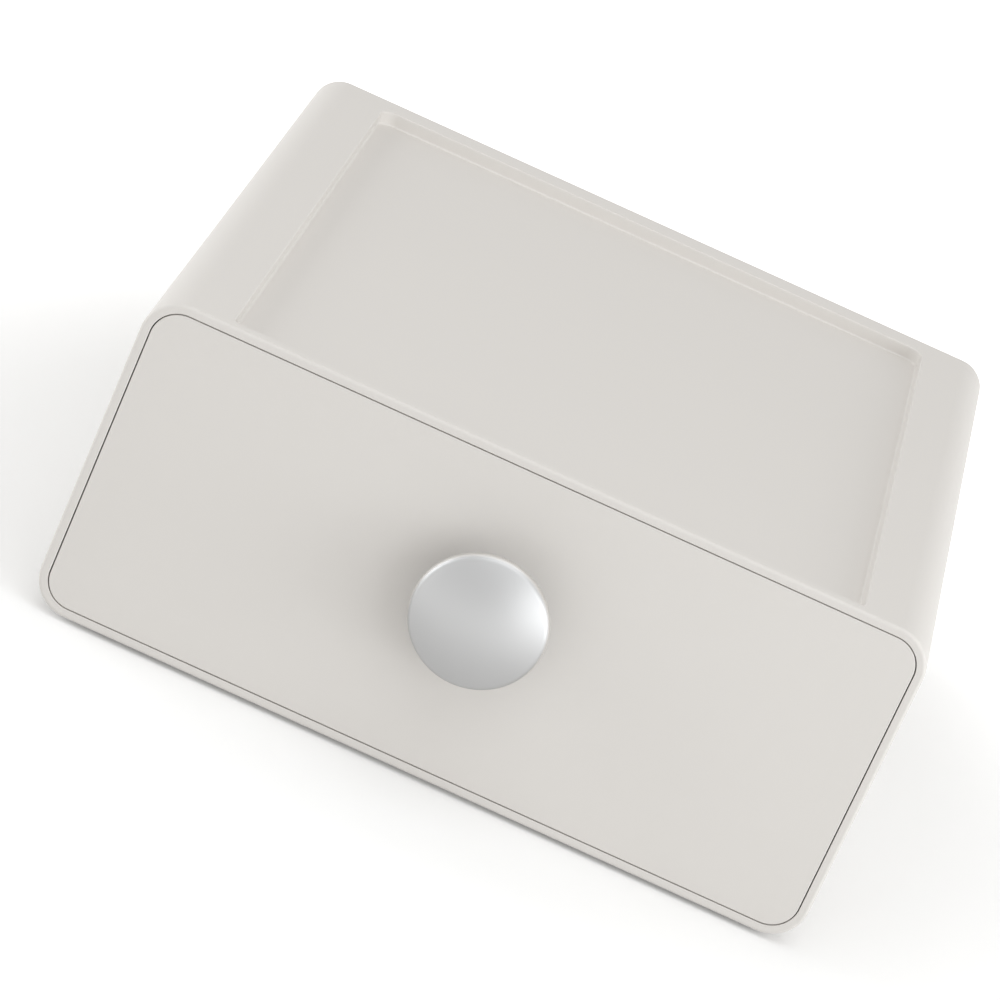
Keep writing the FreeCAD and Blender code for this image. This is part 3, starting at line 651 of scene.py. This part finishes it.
def makeFace():
    s = faceSizes
    low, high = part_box("drawer_front")
    bm = bmesh.new()
    more = s["fuller"]
    lofted(bm, plateRings(bm, (low.x - more, low.z - more), (high.x + more, high.z + more),
                          s["cornerRadius"] + more, s["edgeRound"],
                          low.y + s["thickness"], low.y), capped=(True, True))
    face = newPiece("drawerFace", bm, casePlastic)
    places = [(way * s["screwPlace"][0], 0, z) for way in (-1, 1) for z in s["screwPlace"][1:]]
    added = bmesh.new()
    for place in places:
        addDisc(added, place, s["bossRadius"], low.y + s["thickness"] / 2, high.y, axisY, steps=40)
    combine(face, added, "UNION")
    cut = bmesh.new()
    for place in places:
        addDisc(cut, place, s["pilotRadius"], high.y - s["pilotReach"], high.y + past,
                axisY, steps=24)
    addDisc(cut, knobAxis, s["knobHole"], low.y - past, high.y + past, axisY, steps=40)
    combine(face, cut, "DIFFERENCE")
    smoothed(face)
    carried(face, "drawer", "case_plastic", "drawer_front")


makeFace()
print("drawer face made")


# drawer tray: open moulding with rounded foot, and two springy catches at the back

traySizes = {
    "wall": 1.8 * mm, "cornerRadius": 6.5 * mm, "leastRadius": 0.2 * mm, "footRound": 4.5 * mm,
    "rimRound": 0.5 * mm,  # inside
    "rimFlare": 0.3 * mm,  # outside, where the wall leans in by this and flares again at the rim
    "catchPlace": 40.0 * mm, "catchWidth": 22.0 * mm, "catchLead": 1.1 * mm, "catchRise": 3.9 * mm,
    "slitWidth": 1.2 * mm, "slitDepth": 16.0 * mm, "bossHole": 3.0 * mm,
    "cornerSteps": 16, "footSteps": 8, "rimSteps": 4, "stops": (9, 9),
}


def makeTray():
    s = traySizes
    low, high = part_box("drawer_tray")
    wall, rim = s["wall"], high.z - s["catchRise"]
    bm = bmesh.new()

    def trayRing(inset, z):
        loop = roundedLoop((low.x + inset, low.y + inset), (high.x - inset, high.y - inset),
                           [max(s["cornerRadius"] - inset, s["leastRadius"])] * 4,
                           s["cornerSteps"], s["stops"])
        return ring(bm, loop, lambda x, y: (x, y, z))

    foot = quarterRound(s["footRound"], s["footSteps"])
    innerFoot = quarterRound(s["footRound"] - wall, s["footSteps"])
    flare = quarterRound(s["rimFlare"], s["rimSteps"])
    innerRim = quarterRound(s["rimRound"], s["rimSteps"])
    rings = [trayRing(inset, low.z + up) for inset, up in foot]
    rings += [trayRing(s["rimFlare"] - inset, rim - up) for inset, up in reversed(flare)]
    rings += [trayRing(wall - inset, rim - up) for inset, up in innerRim]
    rings += [trayRing(wall + inset, low.z + wall + up) for inset, up in reversed(innerFoot)]
    lofted(bm, rings, capped=(True, True))
    tray = newPiece("drawerTray", bm, trayPlastic)
    added = bmesh.new()
    for way in (-1, 1):
        x = way * s["catchPlace"]
        addBox(added, (x - s["catchWidth"] / 2, high.y - wall, rim - s["slitDepth"] / 2),
               (x + s["catchWidth"] / 2, high.y, high.z), s["catchLead"],
               lambda p: p.y > high.y - nearby and p.z > high.z - nearby)
    combine(tray, added, "UNION")
    cut = bmesh.new()
    for way in (-1, 1):
        for edge in (-s["catchWidth"] / 2 - s["slitWidth"], s["catchWidth"] / 2):
            x = way * s["catchPlace"] + edge
            addBox(cut, (x, high.y - 2 * wall, rim - s["slitDepth"]),
                   (x + s["slitWidth"], high.y + wall, high.z + wall))
        for z in faceSizes["screwPlace"][1:]:
            place = (way * faceSizes["screwPlace"][0], 0, z)
            addDisc(cut, place, s["bossHole"], low.y - past, low.y + 2 * wall, axisY, steps=40)
    addDisc(cut, knobAxis, faceSizes["knobHole"], low.y - past, low.y + 2 * wall, axisY, steps=40)
    combine(tray, cut, "DIFFERENCE")
    smoothed(tray)
    carried(tray, "drawer", "tray_plastic", "drawer_tray")


makeTray()
print("drawer tray made")


# turned and repeated pieces, by Geometry Nodes

def makeTurnedGroup():
    # Revolves a profile, x out from the axis and z along it, listed from the top down.
    tree, start, end = nodeGroup(
        "turned", "GeometryNodeTree",
        [("Profile", "NodeSocketGeometry", None), ("Around", "NodeSocketInt", 64)],
        [("Solid", "NodeSocketGeometry")])
    profile, around = start.outputs["Profile"], start.outputs["Around"]
    count = addNode(tree, "GeometryNodeAttributeDomainSize", {"component": "MESH"}, {0: profile})
    points = count.outputs["Point Count"]
    grid = addNode(tree, "GeometryNodeMeshGrid", inputs={
        "Vertices X": calc(tree, "ADD", around, 1.0), "Vertices Y": points})
    index = tree.nodes.new("GeometryNodeInputIndex").outputs[0]
    step = calc(tree, "FLOOR", calc(tree, "DIVIDE", index, points))
    along = calc(tree, "MODULO", index, points)
    place = tree.nodes.new("GeometryNodeInputPosition").outputs[0]
    sample = addNode(tree, "GeometryNodeSampleIndex", {"data_type": "FLOAT_VECTOR"}, {
        "Geometry": profile, "Value": place, "Index": along})
    split = addNode(tree, "ShaderNodeSeparateXYZ", inputs={0: sample.outputs[0]})
    angle = calc(tree, "MULTIPLY", step, calc(tree, "DIVIDE", 2 * math.pi, around))
    spun = addNode(tree, "ShaderNodeCombineXYZ", inputs={
        "X": calc(tree, "MULTIPLY", split.outputs["X"], calc(tree, "COSINE", angle)),
        "Y": calc(tree, "MULTIPLY", split.outputs["X"], calc(tree, "SINE", angle)),
        "Z": split.outputs["Z"]})
    placed = addNode(tree, "GeometryNodeSetPosition", inputs={
        "Geometry": grid.outputs["Mesh"], "Position": spun.outputs[0]})
    merged = addNode(tree, "GeometryNodeMergeByDistance", inputs={
        "Geometry": placed.outputs[0], "Distance": nearby})
    turnedOut = addNode(tree, "GeometryNodeFlipFaces", inputs={"Mesh": merged.outputs[0]})
    tree.links.new(turnedOut.outputs[0], end.inputs["Solid"])
    return tree


def makeRowsGroup():  # sets a solid on a grid of places, turned and moved, with its material
    tree, start, end = nodeGroup(
        "rows", "GeometryNodeTree",
        [("Solid", "NodeSocketGeometry", None), *rowInputs],
        [("Pieces", "NodeSocketGeometry")])
    grid = addNode(tree, "GeometryNodeMeshGrid", inputs={
        "Size X": start.outputs["Span X"], "Size Y": start.outputs["Span Y"],
        "Vertices X": start.outputs["Count X"], "Vertices Y": start.outputs["Count Y"]})
    copies = addNode(tree, "GeometryNodeInstanceOnPoints", inputs={
        "Points": grid.outputs["Mesh"], "Instance": start.outputs["Solid"]})
    turn = addNode(tree, "FunctionNodeEulerToRotation", inputs={0: start.outputs["Turn"]})
    moved = addNode(tree, "GeometryNodeTransform", inputs={
        "Geometry": copies.outputs[0], "Translation": start.outputs["Place"],
        "Rotation": turn.outputs[0]})
    solid = addNode(tree, "GeometryNodeRealizeInstances", inputs={"Geometry": moved.outputs[0]})
    dressed = addNode(tree, "GeometryNodeSetMaterial", inputs={
        "Geometry": solid.outputs[0], "Material": start.outputs["Material"]})
    tree.links.new(dressed.outputs[0], end.inputs["Pieces"])
    return tree


rowInputs = [
    ("Count X", "NodeSocketInt", 1), ("Count Y", "NodeSocketInt", 1),
    ("Span X", "NodeSocketFloat", 0.0), ("Span Y", "NodeSocketFloat", 0.0),
    ("Place", "NodeSocketVector", None), ("Turn", "NodeSocketVector", None),
    ("Material", "NodeSocketMaterial", None),
]
turnedGroup = makeTurnedGroup()
rowsGroup = makeRowsGroup()


def inRows(tree, start, end, solid):  # the last steps of both trees below
    rows = addNode(tree, "GeometryNodeGroup", {"node_tree": rowsGroup}, {
        "Solid": solid, **{label: start.outputs[label] for label, _, _ in rowInputs}})
    tree.links.new(rows.outputs["Pieces"], end.inputs["Pieces"])


def makeTurnedTree():
    tree, start, end = nodeGroup(
        "turnedPieces", "GeometryNodeTree",
        [("Profile", "NodeSocketGeometry", None), ("Around", "NodeSocketInt", 64), *rowInputs],
        [("Pieces", "NodeSocketGeometry")])
    turned = addNode(tree, "GeometryNodeGroup", {"node_tree": turnedGroup}, {
        "Profile": start.outputs["Profile"], "Around": start.outputs["Around"]})
    inRows(tree, start, end, turned.outputs["Solid"])
    return tree


def makeScrewTree():  # a turned head and shank, with a cross recess and a thread
    tree, start, end = nodeGroup(
        "screws", "GeometryNodeTree",
        [("Profile", "NodeSocketGeometry", None), ("Around", "NodeSocketInt", 48),
         ("Head Top", "NodeSocketFloat", 2.0 * mm), ("Cross Span", "NodeSocketFloat", 2.6 * mm),
         ("Cross Width", "NodeSocketFloat", 0.7 * mm), ("Cross Depth", "NodeSocketFloat", 0.9 * mm),
         ("Core Radius", "NodeSocketFloat", 0.9 * mm), ("Thread Depth", "NodeSocketFloat", 0.2 * mm),
         ("Turns", "NodeSocketFloat", 8.0), ("Thread Start", "NodeSocketFloat", -6.0 * mm),
         ("Thread Length", "NodeSocketFloat", 5.0 * mm), *rowInputs],
        [("Pieces", "NodeSocketGeometry")])
    turned = addNode(tree, "GeometryNodeGroup", {"node_tree": turnedGroup}, {
        "Profile": start.outputs["Profile"], "Around": start.outputs["Around"]})
    size, width = start.outputs["Cross Span"], start.outputs["Cross Width"]
    deep = calc(tree, "MULTIPLY", start.outputs["Cross Depth"], 2.0)
    recessed = addNode(tree, "GeometryNodeMeshBoolean", {
        "operation": "DIFFERENCE", "solver": "EXACT"}, {
        "Mesh 1": turned.outputs["Solid"], "Self Intersection": True})
    top = addNode(tree, "ShaderNodeCombineXYZ", inputs={"Z": start.outputs["Head Top"]})
    for x, y in ((size, width), (width, size)):
        extent = addNode(tree, "ShaderNodeCombineXYZ", inputs={"X": x, "Y": y, "Z": deep})
        blade = addNode(tree, "GeometryNodeMeshCube", inputs={"Size": extent.outputs[0]})
        raised = addNode(tree, "GeometryNodeTransform", inputs={
            "Geometry": blade.outputs["Mesh"], "Translation": top.outputs[0]})
        tree.links.new(raised.outputs[0], recessed.inputs["Mesh 2"])
    spiral = addNode(tree, "GeometryNodeCurveSpiral", inputs={
        "Resolution": 24, "Rotations": start.outputs["Turns"],
        "Start Radius": start.outputs["Core Radius"], "End Radius": start.outputs["Core Radius"],
        "Height": start.outputs["Thread Length"]})
    ridge = addNode(tree, "GeometryNodeCurvePrimitiveCircle", inputs={
        "Resolution": 4, "Radius": start.outputs["Thread Depth"]})
    thread = addNode(tree, "GeometryNodeCurveToMesh", inputs={
        "Curve": spiral.outputs[0], "Profile Curve": ridge.outputs["Curve"], "Fill Caps": True})
    foot = addNode(tree, "ShaderNodeCombineXYZ", inputs={"Z": start.outputs["Thread Start"]})
    wound = addNode(tree, "GeometryNodeTransform", inputs={
        "Geometry": thread.outputs[0], "Translation": foot.outputs[0]})
    joined = tree.nodes.new("GeometryNodeJoinGeometry")
    for part in (recessed.outputs["Mesh"], wound.outputs[0]):
        tree.links.new(part, joined.inputs[0])
    inRows(tree, start, end, joined.outputs[0])
    return tree


turnedTree = makeTurnedTree()
screwTree = makeScrewTree()
towardsFront = (math.pi / 2, 0.0, 0.0)  # turns a profile's axis to -Y
towardsBack = (-math.pi / 2, 0.0, 0.0)


def byNodes(name, profile, tree, values):  # a profile run through a tree, as a plain mesh
    bm = bmesh.new()
    for radius, level in profile:
        bm.verts.new((radius, 0.0, level))
    mesh = bpy.data.meshes.new(name)
    bm.to_mesh(mesh)
    bm.free()
    piece = linked(name, mesh)
    step = piece.modifiers.new(tree.name, "NODES")
    step.node_group = tree
    for item in tree.interface.items_tree:
        if item.item_type == "SOCKET" and item.in_out == "INPUT" and item.name in values:
            step[item.identifier] = values[item.name]
    settle(piece)
    bm = bmesh.new()
    bm.from_mesh(piece.data)
    outwards(bm)
    bm.to_mesh(piece.data)
    bm.free()
    smoothed(piece)
    return piece


# knob: shallow dome, soft rim, straight underside and a coved neck, drilled for its screw

knobSizes = {
    "radius": 15.2 * mm, "projection": 15.0 * mm, "domeRise": 3.4 * mm, "frontRound": 2.0 * mm,
    "backRound": 1.8 * mm, "coveRadius": 2.4 * mm, "neckRadius": 6.5 * mm, "neckLength": 2.4 * mm,
    "hole": (2.05 * mm, 8.6 * mm, 1.23 * mm),  # radius, depth and tip
    "around": 160, "domeSteps": 28, "frontSteps": 20, "backSteps": 14, "coveSteps": 12,
}


def knobProfile():
    s = knobSizes
    rim = s["projection"] - s["domeRise"] - s["frontRound"]
    across = s["radius"] - s["frontRound"]
    drop = s["domeRise"] + s["frontRound"]
    dome = (across**2 + drop**2 - s["frontRound"]**2) / (2 * s["domeRise"])
    lean = math.degrees(math.atan2(across, dome - drop))
    coveMiddle = Vector((s["neckRadius"] + s["coveRadius"], s["neckLength"]))
    backMiddle = Vector((s["radius"] - s["backRound"], rim))
    way = backMiddle - coveMiddle
    square = math.degrees(math.atan2(way.y, way.x)
                          + math.acos((s["coveRadius"] + s["backRound"]) / way.length))
    points = arc((0.0, s["projection"] - dome), dome, 90.0, 90.0 - lean, s["domeSteps"])
    points += arc((across, rim), s["frontRound"], 90.0 - lean, 0.0, s["frontSteps"])[1:]
    points += arc(backMiddle, s["backRound"], 0.0, square - 180.0, s["backSteps"])[1:]
    points += arc(coveMiddle, s["coveRadius"], square, 180.0, s["coveSteps"])
    radius, depth, tip = s["hole"]
    points += [(s["neckRadius"], 0.0), (radius, 0.0), (radius, depth), (0.0, depth + tip)]
    return points


def makeKnob():
    knob = byNodes("turnedKnob", knobProfile(), turnedTree, {
        "Around": knobSizes["around"], "Place": knobAxis, "Turn": towardsFront,
        "Material": knobMetal})
    carried(knob, "drawer", "knob_metal", "knob")


makeKnob()
print("knob made")


# screws and washer

screwForm = {
    "around": 48, "crown": 0.55,  # share of the head's height
    "crownSteps": 6, "collarEdge": 0.1 * mm, "tip": 0.5 * mm,
    "threadDepth": 0.14,  # share of the shank's radius
    "plainEnd": 0.6 * mm,  # no thread on either end of the shank
}
smallScrew = {
    "head": (2.4 * mm, 1.6 * mm), "shank": 1.1 * mm, "pitch": 0.9 * mm,
    "cross": (2.6 * mm, 0.7 * mm, 0.9 * mm),  # span, width and depth
}
screwSizes = {
    "frontScrews": {**smallScrew, "length": 3.0 * mm, "collar": (3.7 * mm, 0.6 * mm),
                    "count": (2, 2), "seat": -88.7 * mm, "node": "front_screws", "body": "drawer"},
    "backScrews": {**smallScrew, "length": 8.0 * mm, "collar": None,
                   "count": (2, 1), "seat": 105.5 * mm, "node": "back_screws", "body": "case"},
    "knobScrew": {"head": (3.8 * mm, 2.6 * mm), "shank": 2.0 * mm, "pitch": 0.7 * mm,
                  "cross": (4.4 * mm, 1.1 * mm, 1.5 * mm), "length": 12.0 * mm, "collar": None,
                  "count": (1, 1), "seat": -87.9 * mm, "node": "knob_screw", "body": "drawer"},
}


def screwProfile(headRadius, headHeight, coreRadius, length, collar):
    # Pan head, with its seat at level 0 and its core below. collar: radius and thickness, or None.
    base = collar[1] if collar else 0.0
    crown = headHeight * screwForm["crown"]
    points = [(0.0, base + headHeight)]
    points += arc((headRadius - crown, base + headHeight - crown), crown, 90, 0, screwForm["crownSteps"])
    points.append((headRadius, base))
    if collar:
        edge = screwForm["collarEdge"]
        points += [(collar[0] - edge, base), (collar[0], base - edge), (collar[0], 0.0)]
    tip = screwForm["tip"]
    points += [(coreRadius, 0.0), (coreRadius, tip - length), (coreRadius - tip, -length)]
    return points + [(0.0, -length)]


def makeScrews():
    for name, s in screwSizes.items():
        low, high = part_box(s["node"])
        reach = (s["collar"] or s["head"])[0]
        base = s["collar"][1] if s["collar"] else 0.0
        core = s["shank"] * (1 - screwForm["threadDepth"])
        threaded = s["length"] - 2 * screwForm["plainEnd"]
        profile = screwProfile(*s["head"], core, s["length"], s["collar"])
        screws = byNodes(name, profile, screwTree, {
            "Around": screwForm["around"], "Head Top": base + s["head"][1],
            "Cross Span": s["cross"][0], "Cross Width": s["cross"][1], "Cross Depth": s["cross"][2],
            "Core Radius": core, "Thread Depth": s["shank"] - core, "Turns": threaded / s["pitch"],
            "Thread Start": screwForm["plainEnd"] - s["length"], "Thread Length": threaded,
            "Count X": s["count"][0], "Count Y": s["count"][1],
            "Span X": high.x - low.x - 2 * reach, "Span Y": high.z - low.z - 2 * reach,
            "Place": (0.0, s["seat"], (low.z + high.z) / 2), "Turn": towardsBack,
            "Material": zincSteel})
        carried(screws, s["body"], "screw_steel", s["node"])


washerSizes = {
    "outer": 4.6 * mm, "inner": 2.15 * mm, "thickness": 0.8 * mm, "edge": 0.12 * mm, "around": 64,
}


def washerProfile():
    s = washerSizes
    e, t = s["edge"], s["thickness"]
    return [(s["inner"], t - e), (s["inner"] + e, t), (s["outer"] - e, t), (s["outer"], t - e),
            (s["outer"], e), (s["outer"] - e, 0.0), (s["inner"] + e, 0.0), (s["inner"], e),
            (s["inner"], t - e)]


def makeWasher():
    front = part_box("knob_washer")[0].y
    washer = byNodes("knobWasher", washerProfile(), turnedTree, {
        "Around": washerSizes["around"], "Place": (knobAxis.x, front, knobAxis.z),
        "Turn": towardsBack, "Material": zincSteel})
    carried(washer, "drawer", "screw_steel", "knob_washer")


makeScrews()
makeWasher()
print("screws and washer made")


# silicone feet and bumpers

padSizes = {
    "feet": {"radius": 6.0 * mm, "height": 1.6 * mm, "edge": 0.35 * mm, "count": (2, 2),
             "seatAxis": 2, "turn": (math.pi, 0.0, 0.0),
             "nodes": ["foot_front_left", "foot_front_right", "foot_back_left", "foot_back_right"]},
    "bumpers": {"radius": 4.0 * mm, "height": 2.0 * mm, "edge": 0.7 * mm, "count": (2, 1),
                "seatAxis": 1, "turn": towardsFront, "nodes": ["bumper_left", "bumper_right"]},
}
padSteps = {"around": 72, "edge": 6}


def padProfile(s):  # free edge rounded at the top, flat underside at level 0
    points = [(0.0, s["height"])]
    points += arc((s["radius"] - s["edge"], s["height"] - s["edge"]), s["edge"], 90, 0, padSteps["edge"])
    return points + [(s["radius"], 0.0), (0.0, 0.0)]


def makePads():
    for name, s in padSizes.items():
        boxes = [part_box(node) for node in s["nodes"]]
        low = Vector([min(b[0][k] for b in boxes) for k in range(3)])
        high = Vector([max(b[1][k] for b in boxes) for k in range(3)])
        place = (low + high) / 2
        place[s["seatAxis"]] = high[s["seatAxis"]]  # the seat is the highest or rearmost plane
        spanX = high.x - low.x - 2 * s["radius"]
        spanY = high.y - low.y - 2 * s["radius"] if s["count"][1] > 1 else 0.0
        pads = byNodes(name, padProfile(s), turnedTree, {
            "Around": padSteps["around"], "Count X": s["count"][0], "Count Y": s["count"][1],
            "Span X": spanX, "Span Y": spanY, "Place": place, "Turn": s["turn"],
            "Material": silicone})
        carried(pads, "case", "silicone", *s["nodes"])


makePads()
print("feet and bumpers made")


# floor, world and lamps

stageSizes = {
    "floorHalf": 4.0, "floorTone": 0.85, "seenTone": 0.85,  # lit by the lamps, and as the camera sees it
    "seenGlowWithPaintedShade": (0.14, 0.58), "paintedShadeReach": (0.11, 0.24),  # the floor glows more away from the object; the weaker glow near it is painted shade round the object, seen also in the knob's metal
    "roomTone": (1.0, 0.98, 0.95), "roomStrength": 0.55,
    "lampTone": (0.955, 0.98, 1.0), "lampDistance": 1.3,
}


def shownBy(tree, plain, seen, output):  # the camera sees the second, straight or in metal and glass
    path = tree.nodes.new("ShaderNodeLightPath")
    straight = calc(tree, "MAXIMUM", path.outputs["Is Camera Ray"], path.outputs["Is Glossy Ray"])
    mixed = addNode(tree, "ShaderNodeMixShader", inputs={
        "Fac": calc(tree, "MAXIMUM", straight, path.outputs["Is Transmission Ray"]),
        1: plain.outputs[0], 2: seen.outputs[0]})
    tree.links.new(mixed.outputs[0], tree.nodes[output].inputs["Surface"])


def makeFloor():
    half = stageSizes["floorHalf"]
    mesh = bpy.data.meshes.new("floor")
    mesh.from_pydata([(-half, -half, 0), (half, -half, 0), (half, half, 0), (-half, half, 0)], [],
                     [(0, 1, 2, 3)])
    floor = linked("floor", mesh)
    material, tree, shader, coordinates = newMaterial("floorWhite")
    tree.nodes.remove(shader)
    tone, shown = stageSizes["floorTone"], stageSizes["seenTone"]
    plain = addNode(tree, "ShaderNodeBsdfDiffuse", inputs={"Color": (tone, tone, tone, 1.0)})
    white = addNode(tree, "ShaderNodeBsdfDiffuse", inputs={"Color": (shown, shown, shown, 1.0)})
    # Less glow near the object paints a soft shade on the floor round it, and a painted darker
    # reflection in the metal of the knob.
    away = addNode(tree, "ShaderNodeVectorMath", {"operation": "LENGTH"}, {0: coordinates})
    paintedShadeGlow = addNode(tree, "ShaderNodeMapRange", {"interpolation_type": "SMOOTHSTEP"}, {
        "Value": away.outputs["Value"], "From Min": stageSizes["paintedShadeReach"][0],
        "From Max": stageSizes["paintedShadeReach"][1], "To Min": stageSizes["seenGlowWithPaintedShade"][0],
        "To Max": stageSizes["seenGlowWithPaintedShade"][1]})
    glow = addNode(tree, "ShaderNodeEmission", inputs={"Strength": paintedShadeGlow.outputs[0]})
    lit = addNode(tree, "ShaderNodeAddShader", inputs={0: white.outputs[0], 1: glow.outputs[0]})
    shownBy(tree, plain, lit, "Material Output")
    floor.data.materials.append(material)


def makeWorld():
    world = bpy.data.worlds.new("studio")
    world.use_nodes = True
    tree = world.node_tree
    room = addNode(tree, "ShaderNodeBackground", inputs={
        "Color": (*stageSizes["roomTone"], 1.0), "Strength": stageSizes["roomStrength"]})
    white = addNode(tree, "ShaderNodeBackground", inputs={"Color": (1.0, 1.0, 1.0, 1.0)})
    shownBy(tree, room, white, "World Output")
    bpy.context.scene.world = world


lamps = {  # azimuth is 0 in front and grows to the right; degrees, metres and watts
    "left": {"azimuth": -90, "elevation": 12, "side": 0.9, "power": 7.8},
    "right": {"azimuth": 72, "elevation": 2, "side": 0.7, "power": 5.2},
    "rightFront": {"azimuth": 52, "elevation": 6, "side": 1.3, "power": 9.2},
    "high": {"azimuth": 10, "elevation": 70, "side": 1.2, "power": 5.0},
}


def makeLamps():
    target = (cadLow + cadHigh) / 2
    for name, lamp in lamps.items():
        light = bpy.data.lights.new(name, "AREA")
        light.shape, light.size, light.energy = "SQUARE", lamp["side"], lamp["power"]
        light.color = stageSizes["lampTone"]
        holder = linked(name, light)
        around, rise = math.radians(lamp["azimuth"]), math.radians(lamp["elevation"])
        away = Vector((math.sin(around) * math.cos(rise), -math.cos(around) * math.cos(rise),
                       math.sin(rise)))
        turn = away.to_track_quat("Z", "Y").to_matrix().to_4x4()
        holder.matrix_world = Matrix.Translation(target + away * stageSizes["lampDistance"]) @ turn


makeFloor()
makeWorld()
makeLamps()
bpy.context.scene.view_settings.view_transform = "Standard"
print("stage and lamps set")
